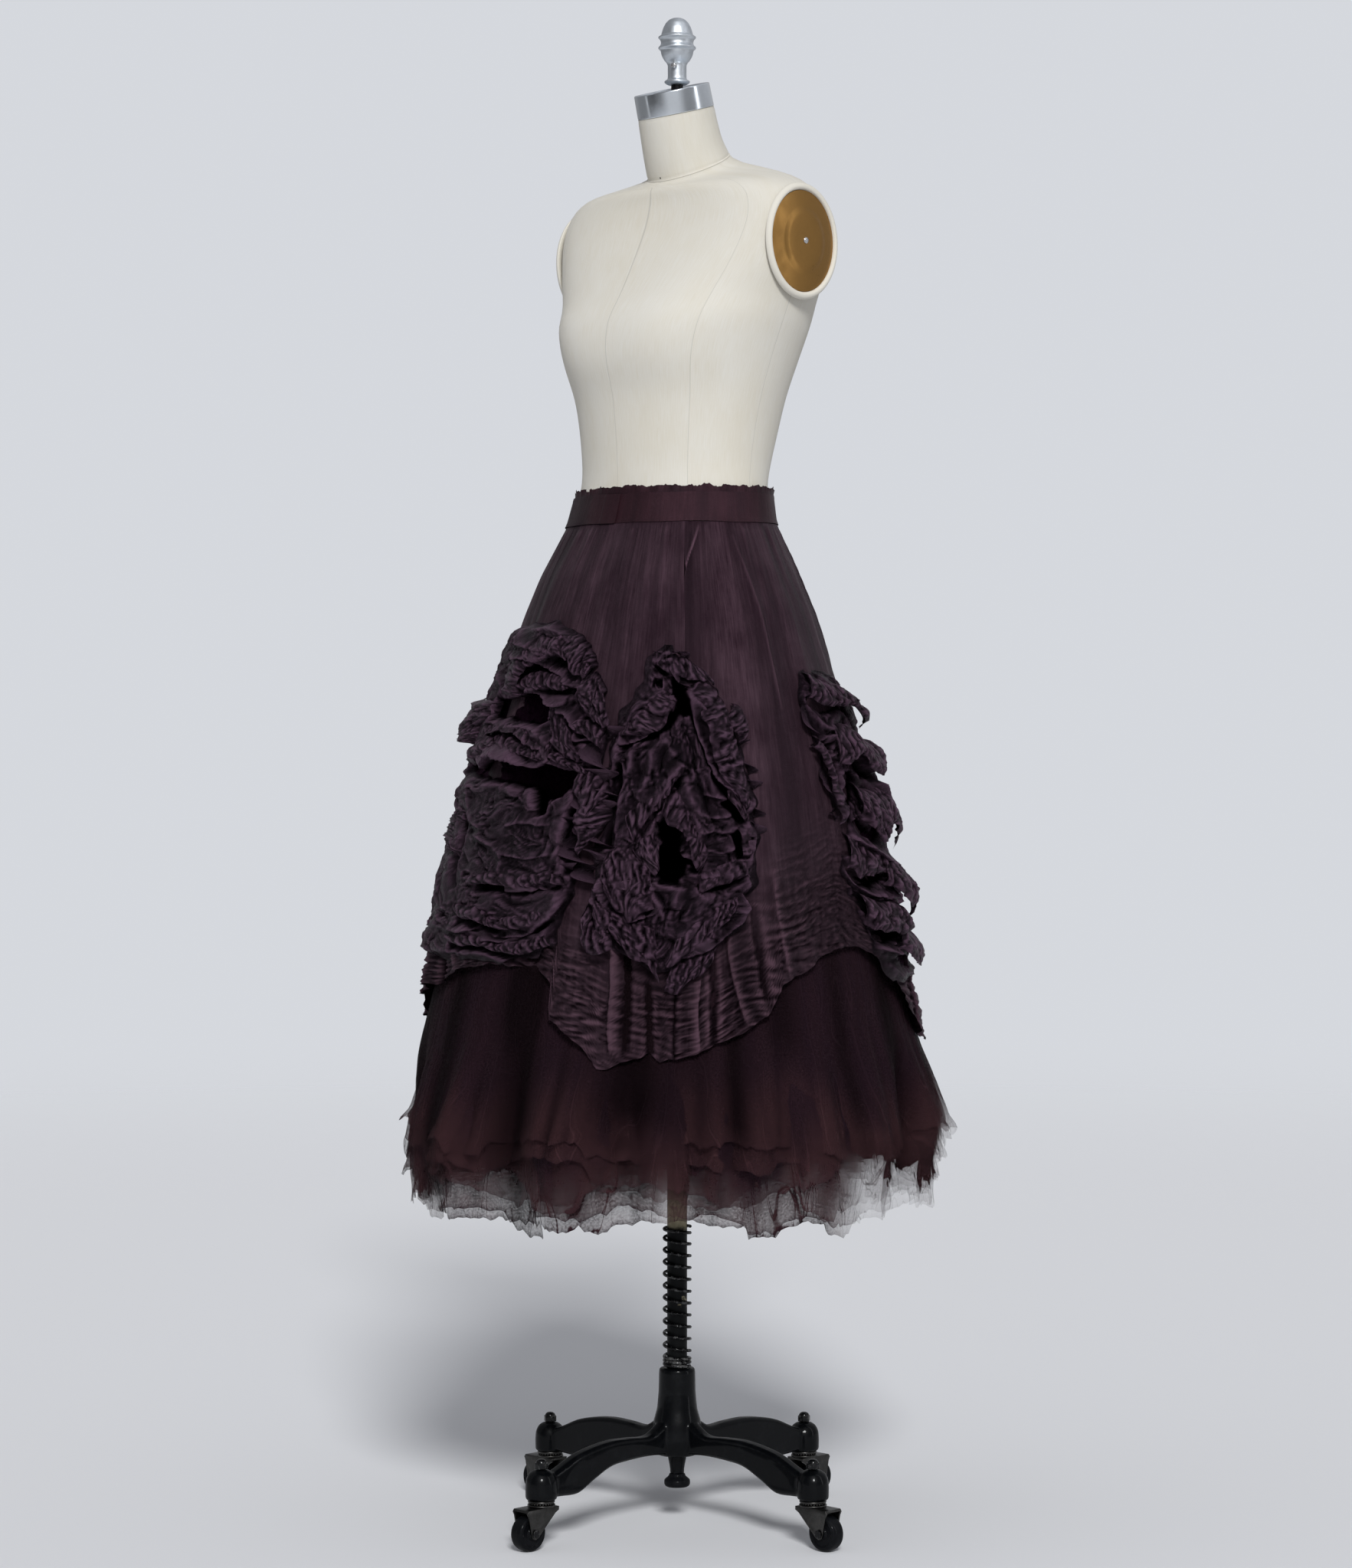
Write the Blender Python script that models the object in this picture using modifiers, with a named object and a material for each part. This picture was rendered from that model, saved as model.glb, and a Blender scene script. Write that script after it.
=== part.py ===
"""A layered tulle skirt on a limbless dress form with a four-legged caster base.

Metres, +Z up. The form faces -Y, its own left side is +X. The column stands on the
origin and the floor is z = 0. Run with: blender --background --python part.py
"""

import math
from functools import partial

import bmesh
import bpy
from mathutils import Matrix, Vector

OBJECT_NAME = "tulle_skirt_on_dress_form"
GAP = 0.0003  # left between pieces that touch
MERGE = 0.00001

# ---- cloth ----
COLUMNS = 48  # points round the waist, the same for the form and every layer of cloth
SEAM_ANGLES = (-45.0, 45.0, 135.0, 225.0)  # the overskirt's four seams, in degrees
GORE_NAMES = ("left", "back", "right", "front")  # the gore that starts at each seam
HALF_SEAM = 0.0870  # degrees left on each side of a seam, over GAP in all at the waist
CLOTH_WALL = 0.0012
BAND_WALL = 0.0015
BAND_TOP = 1.1770
BAND_BOTTOM = 1.1440
SKIRT_TOP = 1.1435
FRAY_HEIGHT = 0.0090
FRAY_FLARE = 0.0016

# The overskirt's outer face: height, mean radius, oval (0.1 = 10% wider), middle x, middle y
SKIRT_PROFILE = (
    (1.1770, 0.1124, 0.135, 0.0000, -0.0060),
    (1.1440, 0.1190, 0.130, 0.0000, -0.0095),
    (1.0870, 0.1455, 0.118, 0.0000, -0.0135),
    (1.0400, 0.1640, 0.108, -0.0010, -0.0120),
    (1.0000, 0.1765, 0.098, -0.0020, -0.0110),
    (0.9400, 0.1950, 0.086, -0.0020, -0.0110),
    (0.8700, 0.2150, 0.070, -0.0020, -0.0110),
    (0.8000, 0.2330, 0.055, -0.0030, -0.0110),
    (0.7200, 0.2510, 0.040, -0.0040, -0.0105),
    (0.6400, 0.2680, 0.030, -0.0040, -0.0100),
    (0.5800, 0.2830, 0.022, -0.0050, -0.0090),
    (0.5200, 0.3010, 0.018, -0.0050, -0.0080),
    (0.4600, 0.3170, 0.014, -0.0050, -0.0075),
    (0.4000, 0.3140, 0.010, -0.0050, -0.0075),
    (0.3400, 0.3020, 0.010, -0.0050, -0.0075),
)
GORE_ROWS = (1.0870, 1.0400, 1.0000, 0.9400, 0.8700, 0.8000, 0.7200)
HEM_HIGH = 0.6600  # the overskirt's hem at the middle of a gore
HEM_POINT = 0.5500  # and at the seams, where it comes down to a point

# Vertical folds of the overskirt: angle, half width in degrees, rise at the hem
OVERSKIRT_FOLDS = (
    (-64.0, 7.0, 0.011),
    (-30.0, 9.0, 0.007),
    (-8.0, 7.0, 0.008),
    (22.0, 8.0, 0.010),
    (53.0, 7.0, 0.009),
    (75.0, 9.0, 0.011),
    (108.0, 7.0, 0.008),
    (142.0, 9.0, 0.010),
    (168.0, 7.0, 0.008),
    (196.0, 8.0, 0.011),
    (238.0, 9.0, 0.010),
    (262.0, 7.0, 0.007),
)

# Tulle tiers, outermost first: name, hem height, steps inside the overskirt, widths joined
TULLE_TIERS = (
    ("tulle_tier_upper", 0.4380, 1, 1),
    ("tulle_tier_middle", 0.3880, 2, 1),
    ("tulle_tier_lower", 0.3560, 3, 4),
)
TIER_ROWS = (1.0000, 0.8000, 0.6000, 0.4800)
# How far apart the layers lie: height, step
LAYER_STEPS = ((SKIRT_TOP, 0.0018), (1.0000, 0.0035), (0.8000, 0.0055), (0.3400, 0.0065))
# Deep soft pleats of the tulle: number round the hem, phase in degrees, depth
TULLE_PLEATS = ((11, 20.0, 0.0050), (7, 75.0, 0.0035), (4, 10.0, 0.0030))
PLEATS_START = 0.5700
PLEATS_FULL = 0.4600
# Where a tier's cut corners hang lower: angle, half width in degrees, drop
HEM_CORNERS = (
    (-71.0, 9.0, 0.012),
    (-20.0, 9.0, 0.012),
    (28.0, 10.0, 0.008),
    (75.0, 9.0, 0.012),
    (118.0, 10.0, 0.009),
    (160.0, 9.0, 0.012),
    (205.0, 9.0, 0.010),
    (246.0, 8.0, 0.008),
)

# Ruched clusters sewn on the overskirt: name, first column, columns, top, bottom, rise
RUCHED_CLUSTERS = (
    ("ruched_cluster_front", -14, 11, 1.0150, 0.6600, 0.024),
    ("ruched_cluster_front_left", -2, 5, 0.9950, 0.6100, 0.018),
    ("ruched_cluster_left", 5, 7, 0.9550, 0.6500, 0.013),
    ("ruched_cluster_back_left", 13, 6, 0.9900, 0.6600, 0.016),
    ("ruched_cluster_back_right", 20, 6, 1.0050, 0.6200, 0.015),
    ("ruched_cluster_right", 27, 6, 0.9700, 0.6600, 0.016),
)
CLUSTER_ROWS = 6
CLUSTER_SEAT = 0.0009

# ---- form ----
# height, half width, front, back, middle (y of the widest point), tilt in degrees, squareness
TORSO_SECTIONS = (
    (1.5574, 0.0493, -0.0306, 0.0680, 0.0187, 25.0, 2.0),
    (1.5510, 0.0600, -0.0380, 0.0740, 0.0195, 21.0, 2.0),
    (1.5450, 0.0980, -0.0420, 0.0800, 0.0220, 15.0, 2.1),
    (1.5370, 0.1350, -0.0410, 0.0860, 0.0250, 8.0, 2.3),
    (1.5260, 0.1590, -0.0430, 0.0910, 0.0280, 3.0, 2.6),
    (1.5080, 0.1760, -0.0440, 0.0980, 0.0280, 0.0, 2.9),
    (1.4800, 0.1840, -0.0520, 0.1090, 0.0280, 0.0, 2.9),
    (1.4400, 0.1780, -0.0700, 0.1230, 0.0260, 0.0, 2.6),
    (1.4000, 0.1640, -0.0880, 0.1310, 0.0180, 0.0, 2.3),
    (1.3700, 0.1560, -0.1020, 0.1310, 0.0120, 0.0, 2.2),
    (1.3300, 0.1430, -0.1060, 0.1240, 0.0070, 0.0, 2.1),
    (1.2900, 0.1320, -0.1010, 0.1150, 0.0030, 0.0, 2.0),
    (1.2500, 0.1240, -0.0980, 0.1050, 0.0000, 0.0, 2.0),
    (1.2100, 0.1200, -0.0955, 0.0920, -0.0030, 0.0, 2.0),
    (1.1870, 0.1215, -0.0960, 0.0850, -0.0060, 0.0, 2.0),
    (1.1770, 0.1250, -0.1010, 0.0890, -0.0060, 0.0, 2.0),
    (1.1440, 0.1256, -0.1045, 0.0855, -0.0095, 0.0, 2.0),
    (1.1000, 0.1370, -0.1080, 0.0990, -0.0045, 0.0, 2.0),
    (1.0400, 0.1510, -0.1150, 0.1140, -0.0020, 0.0, 2.0),
    (0.9700, 0.1620, -0.1190, 0.1270, 0.0020, 0.0, 2.0),
    (0.9000, 0.1640, -0.1180, 0.1270, 0.0030, 0.0, 2.0),
    (0.8623, 0.1600, -0.1150, 0.1220, 0.0030, 0.0, 2.0),
)
BUST_HEIGHT = 1.3550
BUST_SPREAD = 0.0420
BUST_ANGLES = (-118.0, -62.0)
BUST_WIDTH = 20.0
BUST_RISE = 0.0120
SIDE_PLANE = 0.1700  # the arm openings are closed flat at this half width
BOARD_THICKNESS = 0.0120
BOARD_INSET = 0.0030

# Neck rings: y, height, radius, tilt in degrees
NECK_RINGS = (
    (0.0186, 1.5577, 0.0493, 25.0),
    (0.0098, 1.5770, 0.0466, 21.0),
    (0.0036, 1.5970, 0.0452, 17.5),
    (-0.0018, 1.6176, 0.0443, 15.5),
)
NECK_COLUMNS = 32
CAP_BASE = (-0.0019, 1.6179)
CAP_LEAN = 15.5
# Neck cap profile: radius, height above its base along the leaning axis
CAP_PROFILE = (
    (0.0000, 0.0262),
    (0.0405, 0.0262),
    (0.0420, 0.0272),
    (0.0434, 0.0270),
    (0.0438, 0.0262),
    (0.0443, 0.0000),
    (0.0000, 0.0000),
)
FINIAL_SEGMENTS = 20
STEM_RADIUS = 0.0045
# Finial profile: radius, height
FINIAL_PROFILE = (
    (0.0000, 1.7265),
    (0.0080, 1.7250),
    (0.0140, 1.7190),
    (0.0176, 1.7110),
    (0.0188, 1.7062),
    (0.0217, 1.7040),
    (0.0188, 1.7000),
    (0.0190, 1.6958),
    (0.0217, 1.6918),
    (0.0187, 1.6870),
    (0.0165, 1.6812),
    (0.0113, 1.6742),
    (0.0110, 1.6580),
    (0.0146, 1.6530),
    (0.0110, 1.6499),
    (STEM_RADIUS, 1.6499),
    (STEM_RADIUS, 1.6370),
    (0.0000, 1.6370),
)
THUMBSCREW_ANGLE = -62.0
THUMBSCREW_HEIGHT = 1.6702
THUMBSCREW_REACH = 0.0116

ARM_PLATE_CENTRE = (0.0280, 1.4586)  # y, height
ARM_PLATE_HALF_HEIGHT = 0.0570
ARM_PLATE_HALF_WIDTH = 0.0500
ARM_PLATE_DOME = 0.0060

# ---- column and base ----
ROD_RADIUS = 0.0095
ROD_BOTTOM = 0.3600
BOARD_BOTTOM = TORSO_SECTIONS[-1][0] - GAP - BOARD_THICKNESS
TUBE_RADIUS = 0.0115
TUBE_BORE = 0.0099
TUBE_TOP = 0.6600
CLAMP_HEIGHT = 0.0300
CLAMP_RADIUS = 0.0190
CLAMP_SCREW_LENGTH = 0.0300
HUB_TOP = 0.1775
HUB_BOTTOM = 0.0770
SOCKET_FLOOR = 0.0900
ROUND_SEGMENTS = 24

HUB_PROFILE = (
    (0.0000, HUB_TOP),
    (0.0190, HUB_TOP),
    (0.0210, HUB_TOP - 0.0025),
    (0.0214, 0.1500),
    (0.0232, 0.1300),
    (0.0275, 0.1150),
    (0.0290, 0.0950),
    (0.0240, HUB_BOTTOM),
    (0.0000, HUB_BOTTOM),
)
# A leg's sections: distance from the column, top, bottom
LEG_SECTIONS = (
    (0.0080, 0.1250, 0.0790),
    (0.0260, 0.1170, 0.0800),
    (0.0490, 0.1050, 0.0820),
    (0.0800, 0.1062, 0.0812),
    (0.1100, 0.1065, 0.0780),
    (0.1380, 0.1030, 0.0665),
    (0.1620, 0.0975, 0.0550),
    (0.1860, 0.0875, 0.0550),
    (0.2050, 0.0800, 0.0560),
)
LEG_HALF_WIDTH = 0.0090
LEG_CHAMFER = 0.0040
PIVOT_REACH = 0.2136
LEG_ANGLES = {"left": 0.0, "back": 90.0, "right": 180.0, "front": 270.0}
# A leg's end boss: radius, height
BOSS_PROFILE = (
    (0.0000, 0.0884),
    (0.0085, 0.0876),
    (0.0140, 0.0838),
    (0.0172, 0.0770),
    (0.0179, 0.0680),
    (0.0177, 0.0560),
    (0.0165, 0.0543),
    (0.0000, 0.0543),
)
FOOT_STEM_PROFILE = (
    (0.0000, 0.0767),
    (0.0115, 0.0767),
    (0.0088, 0.0650),
    (0.0080, 0.0560),
    (0.0000, 0.0560),
)
FOOT_SLOT_WIDTH = 0.0070
FOOT_SLOT = (0.0600, 0.0740)  # lowest and highest point of the slot
FOOT_SLOT_ANGLE = 45.0
FOOT_PAD_PROFILE = (
    (0.0000, 0.0557),
    (0.0085, 0.0557),
    (0.0100, 0.0520),
    (0.0148, 0.0480),
    (0.0150, 0.0430),
    (0.0130, 0.0402),
    (0.0000, 0.0397),
)

SPRING_WIRE = 0.0019
SPRING_RADIUS = 0.0150
SPRING_TOP = 0.3398
SPRING_START_ANGLE = 45.0
SPRING_STEPS_PER_TURN = 8
# The column spring from its top end down: turns, pitch
SPRING_TURNS = ((0.75, 0.0060), (0.75, 0.0120), (10.0, 0.01365), (2.5, 0.0042))
FOOT_SPRING_WIRE = 0.0005
FOOT_SPRING_RADIUS = 0.0026
FOOT_SPRING_TURNS = 4
FOOT_SPRING_STEPS_PER_TURN = 6

# ---- casters ----
NUT_RADIUS = 0.0078
NUT_BOTTOM = 0.0887
NUT_TOP = 0.0998
RACE_PROFILE = (
    (0.0000, 0.0540),
    (0.0150, 0.0540),
    (0.0150, 0.0519),
    (0.0132, 0.0511),
    (0.0132, 0.0502),
    (0.0155, 0.0494),
    (0.0155, 0.0473),
    (0.0000, 0.0473),
)
WHEEL_SEGMENTS = 16
WHEEL_RADIUS = 0.0205
TRAIL = 0.0200
AXLE_HEIGHT = WHEEL_RADIUS * math.cos(math.pi / WHEEL_SEGMENTS)  # a tread facet is on the floor
AXLE_RADIUS = 0.0030
AXLE_HEAD_RADIUS = 0.0046
AXLE_HEAD = 0.0015
# Half of the wheel's section, from the bore out: radius, distance from its middle
WHEEL_HALF_SECTION = (
    (AXLE_RADIUS + GAP, 0.0092),
    (0.0070, 0.0092),
    (0.0076, 0.0078),
    (0.0150, 0.0086),
    (0.0186, 0.0084),
    (WHEEL_RADIUS, 0.0045),
)
FORK_HALF_WIDTH = 0.0125
FORK_CHANNEL = 0.0105  # half the room between the cheeks
FORK_TOP = 0.0470
FORK_CROWN = 0.0025
# The fork's side outline round the axle: distance outward from the pivot, height
FORK_OUTLINE = (
    (-0.0155, FORK_TOP),
    (0.0300, FORK_TOP),
    (0.0320, 0.0440),
    (0.0300, 0.0400),
    (0.0262, 0.0215),
    (0.0245, 0.0158),
    (0.0200, 0.0138),
    (0.0155, 0.0158),
    (-0.0100, 0.0400),
    (-0.0155, 0.0430),
)

# Finishes: linear colour, roughness, metallic
FINISHES = {
    "waistband_ribbon": ((0.052, 0.019, 0.024), 0.60, 0.0),
    "overskirt_cloth": ((0.042, 0.021, 0.031), 0.55, 0.0),
    "ruched_cloth": ((0.034, 0.018, 0.026), 0.65, 0.0),
    "tulle_net": ((0.062, 0.018, 0.028), 0.80, 0.0),
    "form_linen": ((0.660, 0.610, 0.510), 0.85, 0.0),
    "form_board": ((0.330, 0.230, 0.140), 0.70, 0.0),
    "cap_aluminium": ((0.560, 0.590, 0.640), 0.28, 1.0),
    "finial_aluminium": ((0.560, 0.580, 0.600), 0.42, 1.0),
    "bright_steel": ((0.620, 0.620, 0.610), 0.25, 1.0),
    "plate_brass": ((0.360, 0.240, 0.090), 0.45, 1.0),
    "column_brass": ((0.250, 0.220, 0.140), 0.50, 1.0),
    "painted_iron": ((0.012, 0.014, 0.018), 0.35, 0.0),
    "black_steel": ((0.015, 0.015, 0.017), 0.25, 0.6),
    "caster_steel": ((0.110, 0.110, 0.105), 0.40, 0.9),
    "wheel_rubber": ((0.020, 0.021, 0.024), 0.55, 0.0),
}


# ---- scene and object helpers ----
def clear_scene():
    for thing in list(bpy.data.objects):
        bpy.data.objects.remove(thing, do_unlink=True)


def new_collection(name):
    collection = bpy.data.collections.new(name)
    bpy.context.scene.collection.children.link(collection)
    return collection


def finish(name):
    """The named finish as a material, made once."""
    material = bpy.data.materials.get(name)
    if material:
        return material
    colour, roughness, metallic = FINISHES[name]
    material = bpy.data.materials.new(name)
    material.use_nodes = True
    shader = material.node_tree.nodes["Principled BSDF"]
    shader.inputs["Base Color"].default_value = (*colour, 1.0)
    shader.inputs["Roughness"].default_value = roughness
    shader.inputs["Metallic"].default_value = metallic
    return material


def place(name, data, finish_name, collection):
    """A new object for the data, in the collection, with its finish."""
    thing = bpy.data.objects.new(name, data)
    collection.objects.link(thing)
    if finish_name:
        data.materials.append(finish(finish_name))
    else:
        thing.hide_render = True
        thing.display_type = "WIRE"
    return thing


def mesh_from(bm, name, smooth=True):
    mesh = bpy.data.meshes.new(name)
    bm.to_mesh(mesh)
    bm.free()
    if smooth:
        mesh.shade_smooth()
        mesh.set_sharp_from_angle(angle=math.radians(35.0))
    return mesh


def turned(name, profile, segments, finish_name, collection):
    """A solid turned about Z from (radius, height) pairs that run down its outer side."""
    bm = bmesh.new()
    verts = [bm.verts.new((radius, 0.0, height)) for radius, height in profile]
    for first, second in zip(verts, verts[1:]):
        bm.edges.new((first, second))
    if profile[0][0] > 0.0:
        bm.edges.new((verts[-1], verts[0]))
    thing = place(name, mesh_from(bm, name, smooth=False), finish_name, collection)
    screw = thing.modifiers.new("turn", "SCREW")
    screw.steps = segments
    screw.render_steps = segments
    screw.use_merge_vertices = True
    screw.merge_threshold = MERGE
    screw.use_smooth_shade = True
    return thing


def boolean(thing, cutter, operation):
    step = thing.modifiers.new(cutter.name, "BOOLEAN")
    step.operation = operation
    step.object = cutter
    step.solver = "EXACT"


def loft(name, rings, finish_name, collection):
    """A closed solid through rings of equally many points, from the top ring down."""
    bm = bmesh.new()
    loops = [[bm.verts.new(point) for point in ring] for ring in rings]
    for upper, lower in zip(loops, loops[1:]):
        for here in range(len(upper)):
            there = (here + 1) % len(upper)
            bm.faces.new((upper[here], lower[here], lower[there], upper[there]))
    bm.faces.new(loops[0])
    bm.faces.new(list(reversed(loops[-1])))
    bmesh.ops.recalc_face_normals(bm, faces=bm.faces)
    return place(name, mesh_from(bm, name), finish_name, collection)


def cloth(name, columns, rows, point_at, wall, finish_name, collection):
    """A cloth wall: a grid moved to point_at(column, row), thickened inwards."""
    bm = bmesh.new()
    bmesh.ops.create_grid(bm, x_segments=columns, y_segments=rows, size=0.5)
    for vert in bm.verts:
        column = round((vert.co.x + 0.5) * columns)
        row = round((vert.co.y + 0.5) * rows)
        vert.co = point_at(column, row)
    bmesh.ops.remove_doubles(bm, verts=bm.verts, dist=MERGE)
    thing = place(name, mesh_from(bm, name), finish_name, collection)
    solidify = thing.modifiers.new("wall", "SOLIDIFY")
    solidify.thickness = wall
    solidify.offset = -1.0
    return thing


def wire(name, points, radius, finish_name, collection):
    """A round wire along the points, with closed ends."""
    curve = bpy.data.curves.new(name, "CURVE")
    curve.dimensions = "3D"
    spline = curve.splines.new("POLY")
    spline.points.add(len(points) - 1)
    for knot, point in zip(spline.points, points):
        knot.co = (*point, 1.0)
    curve.bevel_depth = radius
    curve.bevel_resolution = 2
    curve.use_fill_caps = True
    return place(name, curve, finish_name, collection)


def cylinder_mesh(name, radius, length, segments, matrix):
    """A cylinder about its own Z, put in place by the matrix."""
    bm = bmesh.new()
    bmesh.ops.create_cone(
        bm,
        cap_ends=True,
        segments=segments,
        radius1=radius,
        radius2=radius,
        depth=length,
        matrix=matrix,
    )
    return mesh_from(bm, name)


def box_mesh(name, low, high):
    bm = bmesh.new()
    bmesh.ops.create_cube(bm, size=1.0)
    size = Vector(high) - Vector(low)
    bmesh.ops.scale(bm, vec=size, verts=bm.verts)
    bmesh.ops.translate(bm, vec=(Vector(high) + Vector(low)) / 2.0, verts=bm.verts)
    return mesh_from(bm, name, smooth=False)


# ---- shared shapes of the cloth ----
def lookup(table, height):
    """The table's row at a height, read straight between its rows, without the height."""
    if height >= table[0][0]:
        return table[0][1:]
    for upper, lower in zip(table, table[1:]):
        if height >= lower[0]:
            share = (upper[0] - height) / (upper[0] - lower[0])
            return tuple(a + (b - a) * share for a, b in zip(upper[1:], lower[1:]))
    return table[-1][1:]


def column_angle(column):
    """The angle of a column in degrees, the first at the first seam."""
    return SEAM_ANGLES[0] + 360.0 * column / COLUMNS


def panel_angle(start, column, columns):
    """The angle of a panel's column, drawn in at the panel's two seams."""
    angle = column_angle(start + column)
    if column == 0:
        angle += HALF_SEAM
    if column == columns:
        angle -= HALF_SEAM
    return angle


def angle_apart(first, second):
    return (first - second + 180.0) % 360.0 - 180.0


def bell(offset, half_width):
    """1 in the middle, falling softly to about 0.6 at the half width and towards 0 beyond."""
    return math.exp(-0.5 * (offset / half_width) ** 2)


def smooth_step(value):
    value = min(1.0, max(0.0, value))
    return value * value * (3.0 - 2.0 * value)


def skirt_point(angle, height, outward=0.0):
    """A point of the overskirt's unfolded outer face, moved outward."""
    radius, oval, middle_x, middle_y = lookup(SKIRT_PROFILE, height)
    radius += outward
    turn = math.radians(angle)
    return Vector(
        (
            middle_x + radius * (1.0 + oval) * math.cos(turn),
            middle_y + radius * (1.0 - oval) * math.sin(turn),
            height,
        )
    )


def overskirt_fold(angle, height):
    """How far the overskirt's folds stand out, growing evenly from the band to the hem."""
    grown = (SKIRT_TOP - height) / (SKIRT_TOP - HEM_POINT)
    rise = sum(
        rise * bell(angle_apart(angle, middle), width)
        for middle, width, rise in OVERSKIRT_FOLDS
    )
    return rise * max(0.0, grown)


def overskirt_hem(angle):
    """The hem's height: high in the middle of each gore, down to a point at each seam."""
    from_middle = abs((angle - SEAM_ANGLES[0]) % 90.0 - 45.0) / 45.0
    return HEM_HIGH - (HEM_HIGH - HEM_POINT) * smooth_step((from_middle - 0.30) / 0.62)


def tulle_pleat(angle, height):
    grown = smooth_step((PLEATS_START - height) / (PLEATS_START - PLEATS_FULL))
    return grown * sum(
        depth * math.cos(math.radians(count * angle + phase))
        for count, phase, depth in TULLE_PLEATS
    )


# ---- the skirt ----
def make_waistband(parts):
    def band_point(column, row):
        return skirt_point(column_angle(column), (BAND_BOTTOM, BAND_TOP)[row])

    cloth("waistband", COLUMNS, 1, band_point, BAND_WALL, "waistband_ribbon", parts)

    def fray_point(column, row):
        angle = column_angle(column)
        ripple = math.sin(math.radians(5.0 * angle)) + math.sin(math.radians(8.0 * angle + 40.0))
        height = BAND_TOP + GAP + row * FRAY_HEIGHT * (0.80 + 0.10 * ripple)
        return skirt_point(angle, height, row * FRAY_FLARE * (1.0 + 0.5 * ripple))

    cloth("waistband_frayed_edge", COLUMNS, 1, fray_point, 0.0010, "waistband_ribbon", parts)


def make_overskirt(parts):
    columns = COLUMNS // len(GORE_NAMES)
    for number, side in enumerate(GORE_NAMES):

        def gore_point(column, row):
            angle = panel_angle(number * columns, column, columns)
            hem = overskirt_hem(angle)
            heights = (hem, (hem + GORE_ROWS[-1]) / 2.0, *reversed(GORE_ROWS), SKIRT_TOP)
            height = heights[row]
            return skirt_point(angle, height, overskirt_fold(angle, height))

        rows = len(GORE_ROWS) + 2
        name = f"overskirt_gore_{side}"
        cloth(name, columns, rows, gore_point, CLOTH_WALL, "overskirt_cloth", parts)


def make_tulle(parts):
    for name, hem_height, steps, widths in TULLE_TIERS:
        columns = COLUMNS // widths

        def tier_point(start, column, row):
            angle = column_angle(column)
            if widths > 1:
                angle = panel_angle(start, column, columns)
            drop = sum(
                drop * bell(angle_apart(angle, middle + 12.0 * steps), width)
                for middle, width, drop in HEM_CORNERS
            )
            hem = hem_height + 0.006 - drop
            height = (hem, *reversed(TIER_ROWS), SKIRT_TOP)[row]
            inside = steps * lookup(LAYER_STEPS, height)[0]
            return skirt_point(angle, height, tulle_pleat(angle, height) - inside)

        rows = len(TIER_ROWS) + 1
        if widths == 1:
            point_at = partial(tier_point, 0)
            cloth(name, columns, rows, point_at, CLOTH_WALL, "tulle_net", parts)
            continue
        for number, side in enumerate(GORE_NAMES):
            point_at = partial(tier_point, number * columns)
            cloth(f"{name}_{side}", columns, rows, point_at, CLOTH_WALL, "tulle_net", parts)


def make_ruched_clusters(parts):
    """Crumpled walls sewn down along their edges, made from the overskirt's own points."""
    for number, (name, first, columns, top, bottom, rise) in enumerate(RUCHED_CLUSTERS):

        def cluster_point(column, row):
            across = 2.0 * column / columns - 1.0
            down = 2.0 * row / CLUSTER_ROWS - 1.0
            angle = column_angle(first + column)
            reach = math.sqrt(1.0 - 0.45 * across * across)
            height = (top + bottom) / 2.0 + down * reach * (top - bottom) / 2.0
            lumps = 0.78 + 0.22 * math.cos(2.3 * row + 1.7 * column + number)
            raised = rise * (1.0 - across**4) * (1.0 - down**4) * lumps
            outward = CLUSTER_SEAT + CLOTH_WALL + raised
            return skirt_point(angle, height, overskirt_fold(angle, height) + outward)

        cloth(name, columns, CLUSTER_ROWS, cluster_point, CLOTH_WALL, "ruched_cloth", parts)


# ---- the dress form ----
def torso_ring(section, inset=0.0):
    """One section of the torso, at the cloth's own angles."""
    height, half_width, front, back, middle, tilt, squareness = section
    ring = []
    for column in range(COLUMNS):
        turn = math.radians(column_angle(column))
        across = math.copysign(abs(math.cos(turn)) ** (2.0 / squareness), math.cos(turn))
        along = math.copysign(abs(math.sin(turn)) ** (2.0 / squareness), math.sin(turn))
        depth = (back - middle) if along > 0.0 else (middle - front)
        swell = bell(height - BUST_HEIGHT, BUST_SPREAD) * sum(
            bell(angle_apart(column_angle(column), angle), BUST_WIDTH) for angle in BUST_ANGLES
        )
        out_x = (half_width - inset) * across
        out_y = (depth - inset) * along
        out_y -= BUST_RISE * swell
        out_x = min(SIDE_PLANE, max(-SIDE_PLANE, out_x))
        lean = math.radians(tilt)
        ring.append(
            (out_x, middle + out_y * math.cos(lean), height + out_y * math.sin(lean))
        )
    return ring


def make_torso(parts):
    rings = [torso_ring(section) for section in TORSO_SECTIONS]
    loft("form_torso", rings, "form_linen", parts)
    lowest = TORSO_SECTIONS[-1]
    rings = []
    for height in (BOARD_BOTTOM + BOARD_THICKNESS, BOARD_BOTTOM):
        rings.append(torso_ring((height, *lowest[1:]), inset=BOARD_INSET))
    loft("form_bottom_board", rings, "form_board", parts)


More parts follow.
